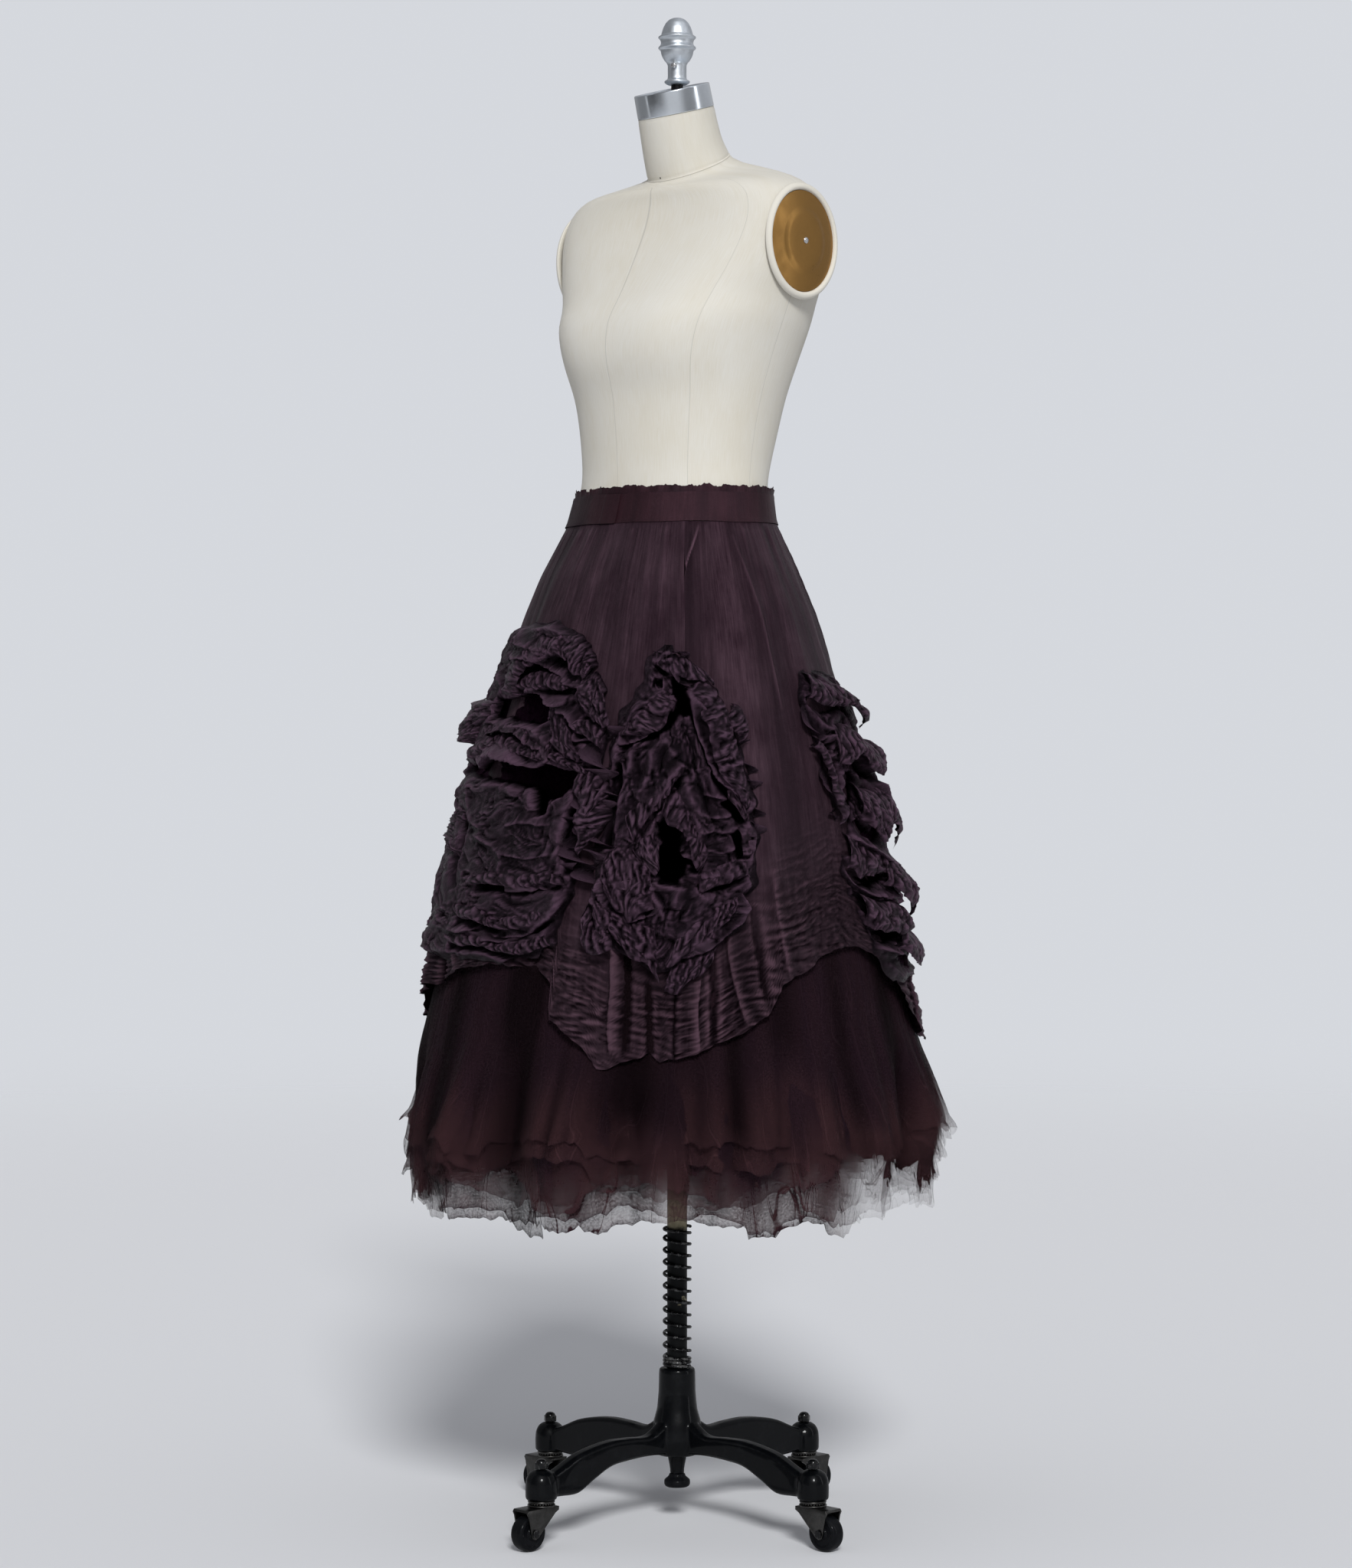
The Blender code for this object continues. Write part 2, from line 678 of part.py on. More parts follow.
def make_neck(parts, cutters):
    rings = []
    for middle, height, radius, tilt in reversed(NECK_RINGS):
        lean = math.radians(tilt)
        ring = []
        for column in range(NECK_COLUMNS):
            turn = 2.0 * math.pi * column / NECK_COLUMNS
            out_y = radius * math.sin(turn)
            ring.append(
                (
                    radius * math.cos(turn),
                    middle + out_y * math.cos(lean),
                    height + out_y * math.sin(lean),
                )
            )
        rings.append(ring)
    loft("form_neck", rings, "form_linen", parts)

    cap = turned("neck_cap", CAP_PROFILE, NECK_COLUMNS, "cap_aluminium", parts)
    cap.location = (0.0, *CAP_BASE)
    cap.rotation_euler = (math.radians(CAP_LEAN), 0.0, 0.0)
    bore = cylinder_mesh(
        "cap_bore", STEM_RADIUS + GAP, 0.040, FINIAL_SEGMENTS, Matrix.Translation((0, 0, 1.6560))
    )
    boolean(cap, place("cap_bore", bore, None, cutters), "DIFFERENCE")

    turned("finial", FINIAL_PROFILE, FINIAL_SEGMENTS, "finial_aluminium", parts)
    head = ((0.0, 0.0040), (0.0024, 0.0036), (0.0034, 0.0018), (0.0034, 0.0), (0.0, 0.0))
    screw = turned("finial_thumbscrew", head, 12, "bright_steel", parts)
    turn = math.radians(THUMBSCREW_ANGLE)
    screw.location = (
        THUMBSCREW_REACH * math.cos(turn),
        THUMBSCREW_REACH * math.sin(turn),
        THUMBSCREW_HEIGHT,
    )
    screw.rotation_euler = (0.0, math.radians(90.0), turn)


def make_arm_plates(parts):
    dome = ARM_PLATE_DOME
    half = ARM_PLATE_HALF_HEIGHT
    plate_profile = (
        (0.0, dome),
        (0.45 * half, 0.90 * dome),
        (0.75 * half, 0.65 * dome),
        (0.94 * half, 0.30 * dome),
        (half, 0.0010),
        (half, 0.0),
        (0.0, 0.0),
    )
    screw_profile = ((0.0, 0.0016), (0.0030, 0.0012), (0.0042, 0.0), (0.0, 0.0))
    middle_y, height = ARM_PLATE_CENTRE
    for side, name in ((1.0, "left"), (-1.0, "right")):
        plate = turned(f"arm_plate_{name}", plate_profile, 24, "plate_brass", parts)
        plate.location = (side * (SIDE_PLANE + GAP), middle_y, height)
        plate.rotation_euler = (0.0, side * math.radians(90.0), 0.0)
        plate.scale = (1.0, ARM_PLATE_HALF_WIDTH / half, 1.0)
        screw = turned(f"arm_plate_screw_{name}", screw_profile, 12, "bright_steel", parts)
        screw.location = (side * (SIDE_PLANE + 2.0 * GAP + dome), middle_y, height)
        screw.rotation_euler = (0.0, side * math.radians(90.0), 0.0)


# ---- the column and the base ----
def make_column(parts):
    rod_length = BOARD_BOTTOM - GAP - ROD_BOTTOM
    rod = cylinder_mesh("height_rod", ROD_RADIUS, rod_length, ROUND_SEGMENTS, Matrix())
    thing = place("height_rod", rod, "column_brass", parts)
    thing.location = (0.0, 0.0, ROD_BOTTOM + rod_length / 2.0)

    bottom = SOCKET_FLOOR + GAP
    tube_profile = (
        (TUBE_BORE, TUBE_TOP),
        (TUBE_RADIUS, TUBE_TOP),
        (TUBE_RADIUS, bottom),
        (TUBE_BORE, bottom),
    )
    turned("column_tube", tube_profile, ROUND_SEGMENTS, "column_brass", parts)

    bore = TUBE_RADIUS + GAP
    low = TUBE_TOP - CLAMP_HEIGHT
    chamfer = 0.0020
    clamp_profile = (
        (bore, TUBE_TOP),
        (CLAMP_RADIUS - chamfer, TUBE_TOP),
        (CLAMP_RADIUS, TUBE_TOP - chamfer),
        (CLAMP_RADIUS, low + chamfer),
        (CLAMP_RADIUS - chamfer, low),
        (bore, low),
    )
    turned("column_clamp", clamp_profile, ROUND_SEGMENTS, "painted_iron", parts)
    screw = turned(
        "column_clamp_screw",
        (
            (0.0, CLAMP_SCREW_LENGTH),
            (0.0100, CLAMP_SCREW_LENGTH),
            (0.0100, 0.70 * CLAMP_SCREW_LENGTH),
            (0.0035, 0.60 * CLAMP_SCREW_LENGTH),
            (0.0035, 0.0),
            (0.0, 0.0),
        ),
        12,
        "painted_iron",
        parts,
    )
    screw.location = (0.0, CLAMP_RADIUS + GAP, TUBE_TOP - CLAMP_HEIGHT / 2.0)
    screw.rotation_euler = (math.radians(-90.0), 0.0, 0.0)


def leg_rings():
    """One leg along +X: chamfered sections from the hub to the end boss."""
    rings = []
    inner = LEG_HALF_WIDTH - LEG_CHAMFER
    for reach, top, bottom in LEG_SECTIONS:
        rings.append(
            (
                (reach, -inner, top),
                (reach, inner, top),
                (reach, LEG_HALF_WIDTH, top - LEG_CHAMFER),
                (reach, LEG_HALF_WIDTH, bottom + LEG_CHAMFER),
                (reach, inner, bottom),
                (reach, -inner, bottom),
                (reach, -LEG_HALF_WIDTH, bottom + LEG_CHAMFER),
                (reach, -LEG_HALF_WIDTH, top - LEG_CHAMFER),
            )
        )
    return rings


def make_base(parts, cutters):
    hub = turned("base_casting", HUB_PROFILE, ROUND_SEGMENTS, "painted_iron", parts)
    for side, angle in LEG_ANGLES.items():
        leg = loft(f"leg_{side}", leg_rings(), None, cutters)
        leg.rotation_euler = (0.0, 0.0, math.radians(angle))
        boolean(hub, leg, "UNION")
        boss = turned(f"boss_{side}", BOSS_PROFILE, 16, None, cutters)
        turn = Matrix.Rotation(math.radians(angle), 4, "Z")
        boss.location = turn @ Vector((PIVOT_REACH, 0.0, 0.0))
        boolean(hub, boss, "UNION")
    depth = HUB_TOP - SOCKET_FLOOR + 0.010
    socket = cylinder_mesh(
        "hub_socket",
        TUBE_RADIUS + GAP,
        depth,
        ROUND_SEGMENTS,
        Matrix.Translation((0.0, 0.0, SOCKET_FLOOR + depth / 2.0)),
    )
    boolean(hub, place("hub_socket", socket, None, cutters), "DIFFERENCE")


def coil_points(turns_and_pitches, radius, top, start_angle, steps_per_turn):
    """Points down a left-handed coil, from its top end."""
    points = []
    angle = math.radians(start_angle)
    height = top
    for turns, pitch in turns_and_pitches:
        for _ in range(round(turns * steps_per_turn)):
            points.append((radius * math.cos(angle), radius * math.sin(angle), height))
            angle += 2.0 * math.pi / steps_per_turn
            height -= pitch / steps_per_turn
    return points


def make_springs_and_foot(parts, cutters):
    points = coil_points(
        SPRING_TURNS, SPRING_RADIUS, SPRING_TOP, SPRING_START_ANGLE, SPRING_STEPS_PER_TURN
    )
    wire("column_spring", points, SPRING_WIRE, "black_steel", parts)

    stem = turned("foot_stem", FOOT_STEM_PROFILE, 16, "painted_iron", parts)
    half = FOOT_SLOT_WIDTH / 2.0
    slot = box_mesh("foot_slot", (-half, -0.020, FOOT_SLOT[0]), (half, 0.020, FOOT_SLOT[1]))
    cutter = place("foot_slot", slot, None, cutters)
    cutter.rotation_euler = (0.0, 0.0, math.radians(FOOT_SLOT_ANGLE))
    boolean(stem, cutter, "DIFFERENCE")
    turned("foot_pad", FOOT_PAD_PROFILE, 16, "wheel_rubber", parts)

    top = FOOT_SLOT[1] - FOOT_SPRING_WIRE - GAP
    pitch = (top - FOOT_SLOT[0] - FOOT_SPRING_WIRE - GAP) / FOOT_SPRING_TURNS
    points = coil_points(
        ((FOOT_SPRING_TURNS, pitch),), FOOT_SPRING_RADIUS, top, 0.0, FOOT_SPRING_STEPS_PER_TURN
    )
    wire("foot_spring", points, FOOT_SPRING_WIRE, "bright_steel", parts)


# ---- the casters ----
def fork_mesh():
    """The fork's side outline extruded to its width, before its channel is cut."""
    bm = bmesh.new()
    half = FORK_HALF_WIDTH
    verts = [bm.verts.new((reach, -half, height)) for reach, height in FORK_OUTLINE]
    face = bm.faces.new(verts)
    swept = bmesh.ops.extrude_face_region(bm, geom=[face])
    moved = [item for item in swept["geom"] if isinstance(item, bmesh.types.BMVert)]
    bmesh.ops.translate(bm, vec=(0.0, 2.0 * half, 0.0), verts=moved)
    bmesh.ops.recalc_face_normals(bm, faces=bm.faces)
    return mesh_from(bm, "caster_fork", smooth=False)


def wheel_profile():
    """The wheel's whole section, down its outer side and back up its bore."""
    upper = [(radius, offset) for radius, offset in WHEEL_HALF_SECTION]
    lower = [(radius, -offset) for radius, offset in reversed(WHEEL_HALF_SECTION)]
    return upper + lower


def make_caster(side, angle, parts, cutters):
    pivot = bpy.data.objects.new(f"caster_pivot_{side}", None)
    parts.objects.link(pivot)
    turn = Matrix.Rotation(math.radians(angle), 4, "Z")
    pivot.location = turn @ Vector((PIVOT_REACH, 0.0, 0.0))
    pivot.rotation_euler = (0.0, 0.0, math.radians(angle))
    axle_place = Vector((TRAIL, 0.0, AXLE_HEIGHT))
    across = Matrix.Rotation(math.radians(90.0), 4, "X")

    nut_middle = (0.0, 0.0, (NUT_BOTTOM + NUT_TOP) / 2.0)
    nut_mesh = cylinder_mesh("caster_nut", NUT_RADIUS, NUT_TOP - NUT_BOTTOM, 6, Matrix())
    nut = place(f"caster_nut_{side}", nut_mesh, "bright_steel", parts)
    nut.location = nut_middle

    race = turned(f"caster_race_{side}", RACE_PROFILE, 16, "caster_steel", parts)
    fork = place(f"caster_fork_{side}", fork_mesh(), "caster_steel", parts)
    channel = box_mesh(
        f"fork_channel_{side}",
        (-0.040, -FORK_CHANNEL, -0.010),
        (0.060, FORK_CHANNEL, FORK_TOP - FORK_CROWN),
    )
    channel_cutter = place(f"fork_channel_{side}", channel, None, cutters)
    hole = cylinder_mesh(
        f"fork_hole_{side}",
        AXLE_RADIUS + GAP,
        4.0 * FORK_HALF_WIDTH,
        12,
        Matrix.Translation(axle_place) @ across,
    )
    hole_cutter = place(f"fork_hole_{side}", hole, None, cutters)
    boolean(fork, channel_cutter, "DIFFERENCE")
    boolean(fork, hole_cutter, "DIFFERENCE")

    wheel = turned(f"caster_wheel_{side}", wheel_profile(), WHEEL_SEGMENTS, "wheel_rubber", parts)
    wheel.location = axle_place
    half_facet = math.pi / WHEEL_SEGMENTS
    wheel.rotation_euler = (across @ Matrix.Rotation(half_facet, 4, "Z")).to_euler()

    head = FORK_HALF_WIDTH + GAP
    end = head + AXLE_HEAD
    axle_profile = (
        (0.0, end),
        (AXLE_HEAD_RADIUS, end),
        (AXLE_HEAD_RADIUS, head),
        (AXLE_RADIUS, head),
        (AXLE_RADIUS, -head),
        (AXLE_HEAD_RADIUS, -head),
        (AXLE_HEAD_RADIUS, -end),
        (0.0, -end),
    )
    axle = turned(f"caster_axle_{side}", axle_profile, 12, "bright_steel", parts)
    axle.location = axle_place
    axle.rotation_euler = across.to_euler()

    for piece in (nut, race, fork, channel_cutter, hole_cutter, wheel, axle):
        piece.parent = pivot


def main():
    clear_scene()
    parts = new_collection(OBJECT_NAME)
    cutters = new_collection("cutters")
    make_waistband(parts)
    make_overskirt(parts)
    make_tulle(parts)
    make_ruched_clusters(parts)
    make_torso(parts)
    make_neck(parts, cutters)
    make_arm_plates(parts)
    make_column(parts)
    make_base(parts, cutters)
    make_springs_and_foot(parts, cutters)
    for side, angle in LEG_ANGLES.items():
        make_caster(side, angle, parts, cutters)


main()
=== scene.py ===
"""A layered tulle skirt on a limbless dress form: the looks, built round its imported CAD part.

Metres, +Z up. The form faces -Y, its own left side is +X, and the column stands on the
origin. Angles are in degrees, anticlockwise from +X as seen from above.
"""

import math
from itertools import product

import bmesh
import bpy
import numpy as np
from bpy.props import FloatProperty, FloatVectorProperty, PointerProperty
from bpy.types import Operator, Panel, PropertyGroup
from mathutils import Matrix, Vector


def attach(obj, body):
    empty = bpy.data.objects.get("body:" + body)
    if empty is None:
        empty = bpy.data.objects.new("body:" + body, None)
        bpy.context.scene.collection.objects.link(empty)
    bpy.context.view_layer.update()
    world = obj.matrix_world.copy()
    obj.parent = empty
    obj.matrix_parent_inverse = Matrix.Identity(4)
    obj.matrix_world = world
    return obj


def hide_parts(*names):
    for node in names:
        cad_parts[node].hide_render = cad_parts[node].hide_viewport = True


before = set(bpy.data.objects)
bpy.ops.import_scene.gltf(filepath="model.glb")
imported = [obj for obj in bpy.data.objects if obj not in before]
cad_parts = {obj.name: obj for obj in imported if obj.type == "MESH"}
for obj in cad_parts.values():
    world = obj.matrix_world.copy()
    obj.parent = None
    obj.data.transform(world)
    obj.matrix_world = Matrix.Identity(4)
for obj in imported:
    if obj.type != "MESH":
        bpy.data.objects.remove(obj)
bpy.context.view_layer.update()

bl_info = {
    "name": "Tulle Skirt on a Dress Form",
    "version": (1, 0, 0),
    "blender": (4, 5, 0),
    "location": "View3D > Sidebar > Dress Form",
    "description": "Builds the cloth, the dress form and its caster stand round their CAD part",
    "category": "Object",
}

SIDES = {"left": 0.0, "back": 90.0, "right": 180.0, "front": 270.0}
SEAM_ANGLES = (-45, 45, 135, 225)
GORE_NAMES = ("left", "back", "right", "front")
MERGE = 0.00001
ARC = 0.21  # metres per radian, the cloth's usual distance from the column
# The sides with a coarser mesh; a gore's columns and rows; the crumpled cloth's grid steps
COARSE_SIDES = ("back", "right", "back_left", "back_right")
COARSE_STEP = 0.0021
FINE_STEP = 0.00172
COARSE_GRID = (112, 156)
FINE_GRID = (156, 230)
# Columns and rows of the other cloth; a ruffle's columns are for each of its waves
BAND_GRID = (400, 14)
FRAY_GRID = (760, 8)
TULLE_GRID = (420, 42)
TORSO_GRID = (128, 84)
NECK_GRID = (96, 28)
RUFFLE_STEPS = 32
RUFFLE_ROWS = 11
# The cut lengths of the gores and the clusters
GORE_LENGTH = 0.6
CLUSTER_LENGTH = 0.45
# The radii of the rings on which each cloth's noise is read
BAND_RING = 0.12
SKIRT_RING = 0.24
TULLE_RING = 0.3

# ---- the skirt's form ----
BAND_TOP = 1.177
BAND_BOTTOM = 1.144
SKIRT_TOP = 1.1435
HEM_POINT = 0.55
# The overskirt's outer face: height, mean radius, oval, middle x, middle y
SKIRT_PROFILE = (
    (1.177, 0.1124, 0.135, 0, -0.006), (1.144, 0.119, 0.13, 0, -0.0095), (1.087, 0.1455, 0.118, 0, -0.0135),
    (1.04, 0.164, 0.108, -0.001, -0.012), (1, 0.1765, 0.098, -0.002, -0.011),
    (0.94, 0.195, 0.086, -0.002, -0.011), (0.87, 0.215, 0.07, -0.002, -0.011),
    (0.8, 0.233, 0.055, -0.003, -0.011), (0.72, 0.251, 0.04, -0.004, -0.0105),
    (0.64, 0.268, 0.03, -0.004, -0.01), (0.58, 0.283, 0.022, -0.005, -0.009),
    (0.52, 0.301, 0.018, -0.005, -0.008), (0.46, 0.317, 0.014, -0.005, -0.0075),
    (0.4, 0.314, 0.01, -0.005, -0.0075), (0.34, 0.302, 0.01, -0.005, -0.0075),
)
# Vertical folds of the overskirt: angle, half width in degrees, rise at the hem
OVERSKIRT_FOLDS = (
    (-64, 7, 0.011), (-30, 9, 0.007), (-8, 7, 0.008), (22, 8, 0.01), (53, 7, 0.009), (75, 9, 0.011),
    (108, 7, 0.008), (142, 9, 0.01), (168, 7, 0.008), (196, 8, 0.011), (238, 9, 0.01), (262, 7, 0.007),
)
# The overskirt's hem: angle, height
HEM_LINE = (
    (-152, 0.572), (-142, 0.58), (-134, 0.606), (-124, 0.619), (-114, 0.629), (-104, 0.644), (-93, 0.652),
    (-84, 0.652), (-78, 0.645), (-74.5, 0.637), (-73.5, 0.596), (-68, 0.582), (-64, 0.565), (-61, 0.545),
    (-59, 0.543), (-56, 0.552), (-50.5, 0.562), (-48, 0.552), (-41, 0.562), (-34, 0.576), (-28, 0.588),
    (-24, 0.603), (-20, 0.634), (-17, 0.639), (-12, 0.65), (-9, 0.66), (-2, 0.672), (5, 0.671), (14, 0.655),
    (20, 0.625), (26, 0.592), (34, 0.566), (45, 0.556), (54, 0.572), (64, 0.618), (76, 0.65), (90, 0.664),
    (104, 0.652), (118, 0.622), (128, 0.57), (137, 0.552), (148, 0.566), (158, 0.612), (172, 0.652),
    (186, 0.66), (198, 0.636), (208, 0.572),
)
# Crisp pressed pleats of the overskirt: rise, half width, lean, points as (angle, height)
PRESSED_PLEATS = (
    (0.0085, 0.0032, 0.004, ((-80.5, 1.128), (-74, 1.08), (-66.5, 1.023), (-67, 0.892))),
    (0.0046, 0.0034, 0.002, ((-62, 1.138), (-56, 1.085), (-54, 1))),
    (0.0042, 0.0034, -0.002, ((-38, 1.138), (-45, 1.09), (-50, 1.02))),
    (0.0022, 0.0034, 0, ((-96, 1.135), (-102, 1.08), (-110, 1.04))),
    (0.002, 0.004, 0, ((-20, 1.13), (-14, 1.05), (-11, 0.93))),
    (0.0022, 0.004, 0, ((30, 1.132), (33, 1.06), (35, 0.98))),
    (0.0024, 0.004, 0, ((88, 1.134), (92, 1.04), (94, 0.93))),
    (0.0024, 0.004, 0, ((150, 1.132), (146, 1.05), (145, 0.96))),
    (0.0022, 0.004, 0, ((196, 1.134), (201, 1.06), (204, 0.99))),
)

# Folds that run up from the hem beside each seam, as above, with angles from the seam
SEAM_FOLDS = (
    (0.007, 0.005, 0.005, ((-15, 0.71), (-13.5, 0.64), (-13, 0.56))),
    (-0.007, 0.004, 0, ((-12.5, 0.7), (-11, 0.63), (-10.5, 0.56))),
    (-0.006, 0.003, 0, ((-6.5, 0.64), (-5.5, 0.59), (-5, 0.555))),
    (0.006, 0.005, -0.004, ((5, 0.65), (4, 0.61), (4.5, 0.56))),
    (-0.007, 0.0035, 0, ((8, 0.68), (9, 0.63), (8.5, 0.57))),
    (0.007, 0.006, 0.005, ((13, 0.69), (14, 0.65), (17, 0.59))),
    (-0.006, 0.004, 0, ((19, 0.72), (20, 0.67), (21.5, 0.61))),
    (0.005, 0.006, 0.004, ((25, 0.76), (26, 0.7), (28, 0.64))),
)

# ---- ruched clusters ----
# Laid folds, in millimetres: rise (below 0, a hollow), half width, lean to the right of the
# line, points as (angle, height)
FRONT_FOLDS = (
    (9, 14, 0, ((-115, 1004), (-110, 1017), (-100, 1022), (-92, 1023), (-84, 1015), (-78, 997), (-74, 976),
     (-71, 953), (-70, 935))),
    (14, 8, 11, ((-111, 997), (-102, 1001), (-94, 993), (-87, 982), (-81, 969), (-77, 957))),
    (7, 4, 4, ((-104, 990), (-96, 987), (-88, 978))),
    (-13, 9, 0, ((-104, 983), (-95, 977), (-88, 971), (-82, 966))),
    (12, 7, 7, ((-114, 950), (-106, 955), (-98, 960), (-90, 953), (-86, 943), (-82, 942))),
    (6, 5, 3, ((-101, 961), (-93, 964), (-87, 962), (-81, 954))),
    (-15, 13, 0, ((-108, 932), (-99, 932), (-89, 926))),
    (12, 8, 0, ((-111, 900), (-105, 911), (-96, 914), (-89, 908), (-85, 898))),
    (22, 9, 15, ((-124, 862), (-117, 880), (-109, 892), (-103, 895), (-94, 887), (-88, 883), (-84, 891),
     (-82, 887), (-78, 878), (-73, 871))),
    (-17, 13, 0, ((-113, 868), (-100, 868), (-89, 863), (-80, 858), (-74, 859))),
    (-10, 9, 0, ((-84, 849), (-80, 834))),
    (4, 4, 0, ((-106, 875), (-100, 859))),
    (4, 4, 0, ((-95, 867), (-97, 856))),
    (4, 4, 0, ((-93, 836), (-98, 851))),
    (4, 4, 0, ((-110, 848), (-100, 851))),
    (6, 6, 0, ((-120, 859), (-117, 835), (-111, 814), (-102, 799))),
    (6, 5, 0, ((-89, 857), (-88, 839), (-87, 821))),
    (5, 11, 0, ((-141, 863), (-134, 831), (-135, 804), (-135, 788), (-141, 771), (-142, 738), (-140, 702))),
    (-7, 6, 0, ((-124, 821), (-115, 795), (-115, 769), (-113, 730))),
    (9, 6, 8, ((-93, 740), (-86, 740), (-80, 743), (-75, 745))),
    (10, 7, 8, ((-96, 694), (-88, 690), (-83, 693), (-79, 703), (-75, 714), (-72, 733))),
    (8, 6, 6, ((-111, 693), (-102, 692), (-97, 701))),
    (7, 5, 5, ((-100, 670), (-94, 683), (-87, 682))),
    (6, 6, 0, ((-108, 796), (-99, 786), (-93, 769), (-94, 751))),
    (5, 5, 3, ((-95, 807), (-88, 810), (-80, 807))),
    (5, 5, 3, ((-94, 776), (-85, 772), (-77, 775))),
    (7, 6, -4, ((-74, 850), (-76, 834), (-77, 808), (-77, 778), (-75, 753))),
    (-9, 6, 0, ((-75, 824), (-75, 798), (-74, 768))),
    (14, 5, 4, ((-78, 901), (-72, 903), (-69, 900), (-68, 886))),
    (-11, 6, 0, ((-74, 891), (-71, 888))),
    (12, 5, 4, ((-85, 930), (-81, 932), (-78, 922), (-76, 909))),
    (-9, 5, 0, ((-81, 915), (-82, 901))),
    (7, 6, 0, ((-122, 981), (-115, 954), (-119, 944))),
    (6, 5, 3, ((-114, 1010), (-106, 1012), (-96, 1006), (-86, 998))),
)
FRONT_LEFT_FOLDS = (
    (16, 6, 10, ((-50, 981), (-45, 968), (-40, 963), (-36, 958), (-33, 942), (-32, 922), (-33, 901))),
    (-14, 6, 0, ((-41, 952), (-37, 945), (-34, 927), (-34, 909))),
    (12, 7, 0, ((-45, 956), (-42, 947), (-39, 932), (-36, 911), (-34, 893), (-33, 891))),
    (14, 5, 7, ((-44, 955), (-42, 940), (-40, 911), (-38, 891), (-35, 865), (-31, 847), (-28, 835))),
    (-12, 6, 0, ((-34, 884), (-32, 870), (-28, 858))),
    (-7, 6, 0, ((-37, 865), (-34, 850), (-31, 834))),
    (12, 5, 0, ((-52, 996), (-50, 983), (-49, 968))),
    (8, 4, 0, ((-56, 988), (-53, 985))),
    (8, 4, 0, ((-48, 991), (-44, 977))),
    (-9, 4, 0, ((-51, 994), (-51, 988))),
    (-12, 5, 0, ((-48, 967), (-47, 955), (-48, 946))),
    (-10, 5, 0, ((-55, 962), (-52, 960))),
    (10, 10, 0, ((-50, 959), (-53, 951), (-56, 942), (-59, 934), (-59, 922))),
    (8, 4, 0, ((-50, 942), (-48, 945), (-48, 934), (-49, 929))),
    (-9, 6, 0, ((-56, 915), (-52, 927), (-49, 919))),
    (10, 5, 8, ((-65, 901), (-61, 903), (-58, 907), (-55, 914))),
    (-10, 6, 0, ((-63, 893), (-60, 898))),
    (9, 5, 0, ((-64, 899), (-63, 881), (-60, 864), (-59, 875), (-60, 891))),
    (12, 9, 0, ((-45, 874), (-48, 853), (-51, 832), (-54, 807), (-57, 787))),
    (8, 5, 0, ((-45, 872), (-48, 859), (-50, 837), (-50, 823))),
    (16, 7, 10, ((-50, 823), (-48, 809), (-45, 794), (-42, 779), (-40, 771))),
    (12, 12, 0, ((-45, 865), (-43, 835), (-41, 804), (-40, 784))),
    (-22, 13, 0, ((-51, 812), (-48, 806), (-46, 790), (-46, 772), (-46, 756), (-47, 741))),
    (7, 9, 0, ((-55, 784), (-52, 771), (-50, 756))),
    (10, 9, 0, ((-42, 773), (-44, 754), (-45, 734), (-46, 716))),
    (11, 18, 0, ((-57, 751), (-57, 736))),
    (12, 6, 8, ((-63, 750), (-61, 728), (-59, 715), (-56, 709), (-53, 715), (-50, 711))),
    (8, 5, 0, ((-52, 744), (-49, 716), (-48, 704))),
    (9, 6, 7, ((-60, 698), (-56, 683), (-53, 673), (-50, 659))),
    (12, 16, 0, ((-38, 736), (-42, 704), (-45, 681))),
    (12, 6, 9, ((-46, 666), (-42, 674), (-37, 689), (-33, 706), (-31, 734))),
    (8, 6, 5, ((-40, 753), (-36, 756), (-32, 763))),
    (5, 4, 2, ((-42, 825), (-38, 817), (-31, 820))),
    (5, 4, 2, ((-40, 842), (-34, 837), (-29, 837))),
    (5, 4, 2, ((-41, 799), (-35, 802), (-30, 799))),
    (5, 4, 2, ((-39, 782), (-35, 779), (-31, 784))),
    (9, 4, 0, ((-28, 855), (-25, 842), (-26, 825), (-28, 825))),
    (10, 4, 0, ((-28, 812), (-25, 797), (-27, 781), (-29, 789))),
    (-8, 4, 0, ((-27, 794), (-27, 790))),
    (8, 6, -5, ((-32, 761), (-29, 741), (-30, 716), (-32, 698))),
    (8, 6, 3, ((-66, 751), (-66, 735), (-64, 720))),
    (6, 5, 0, ((-54, 891), (-54, 860), (-57, 835))),
    (6, 5, 0, ((-51, 901), (-47, 881))),
)
LEFT_FOLDS = (
    (7, 5, 0, ((-2, 967), (-2, 948), (0, 926), (4, 913), (10, 910))),
    (9, 7, 0, ((7, 967), (14, 951), (19, 932), (28, 919))),
    (12, 6, -6, ((-2, 894), (5, 899), (9, 888), (6, 867), (5, 840), (1, 811))),
    (-14, 8, 0, ((11, 864), (8, 834), (6, 802), (6, 770))),
    (17, 10, 0, ((19, 886), (24, 864), (28, 834), (31, 809), (32, 784))),
    (16, 8, 10, ((7, 797), (14, 785), (24, 768), (38, 753))),
    (14, 7, 8, ((2, 770), (5, 748), (11, 734), (26, 728))),
    (-10, 8, 0, ((4, 722), (12, 714))),
    (12, 8, 0, ((24, 719), (28, 697), (32, 686))),
    (8, 6, 0, ((6, 711), (10, 689), (10, 662))),
    (8, 5, 5, ((10, 672), (20, 664))),
    (6, 5, 3, ((0, 878), (-2, 862), (0, 845))),
    (7, 5, 3, ((-1, 835), (0, 819), (0, 803))),
    (7, 9, 3, ((36, 905), (40, 870), (38, 830), (42, 790))),
    (6, 8, 3, ((38, 740), (42, 710), (40, 680))),
)
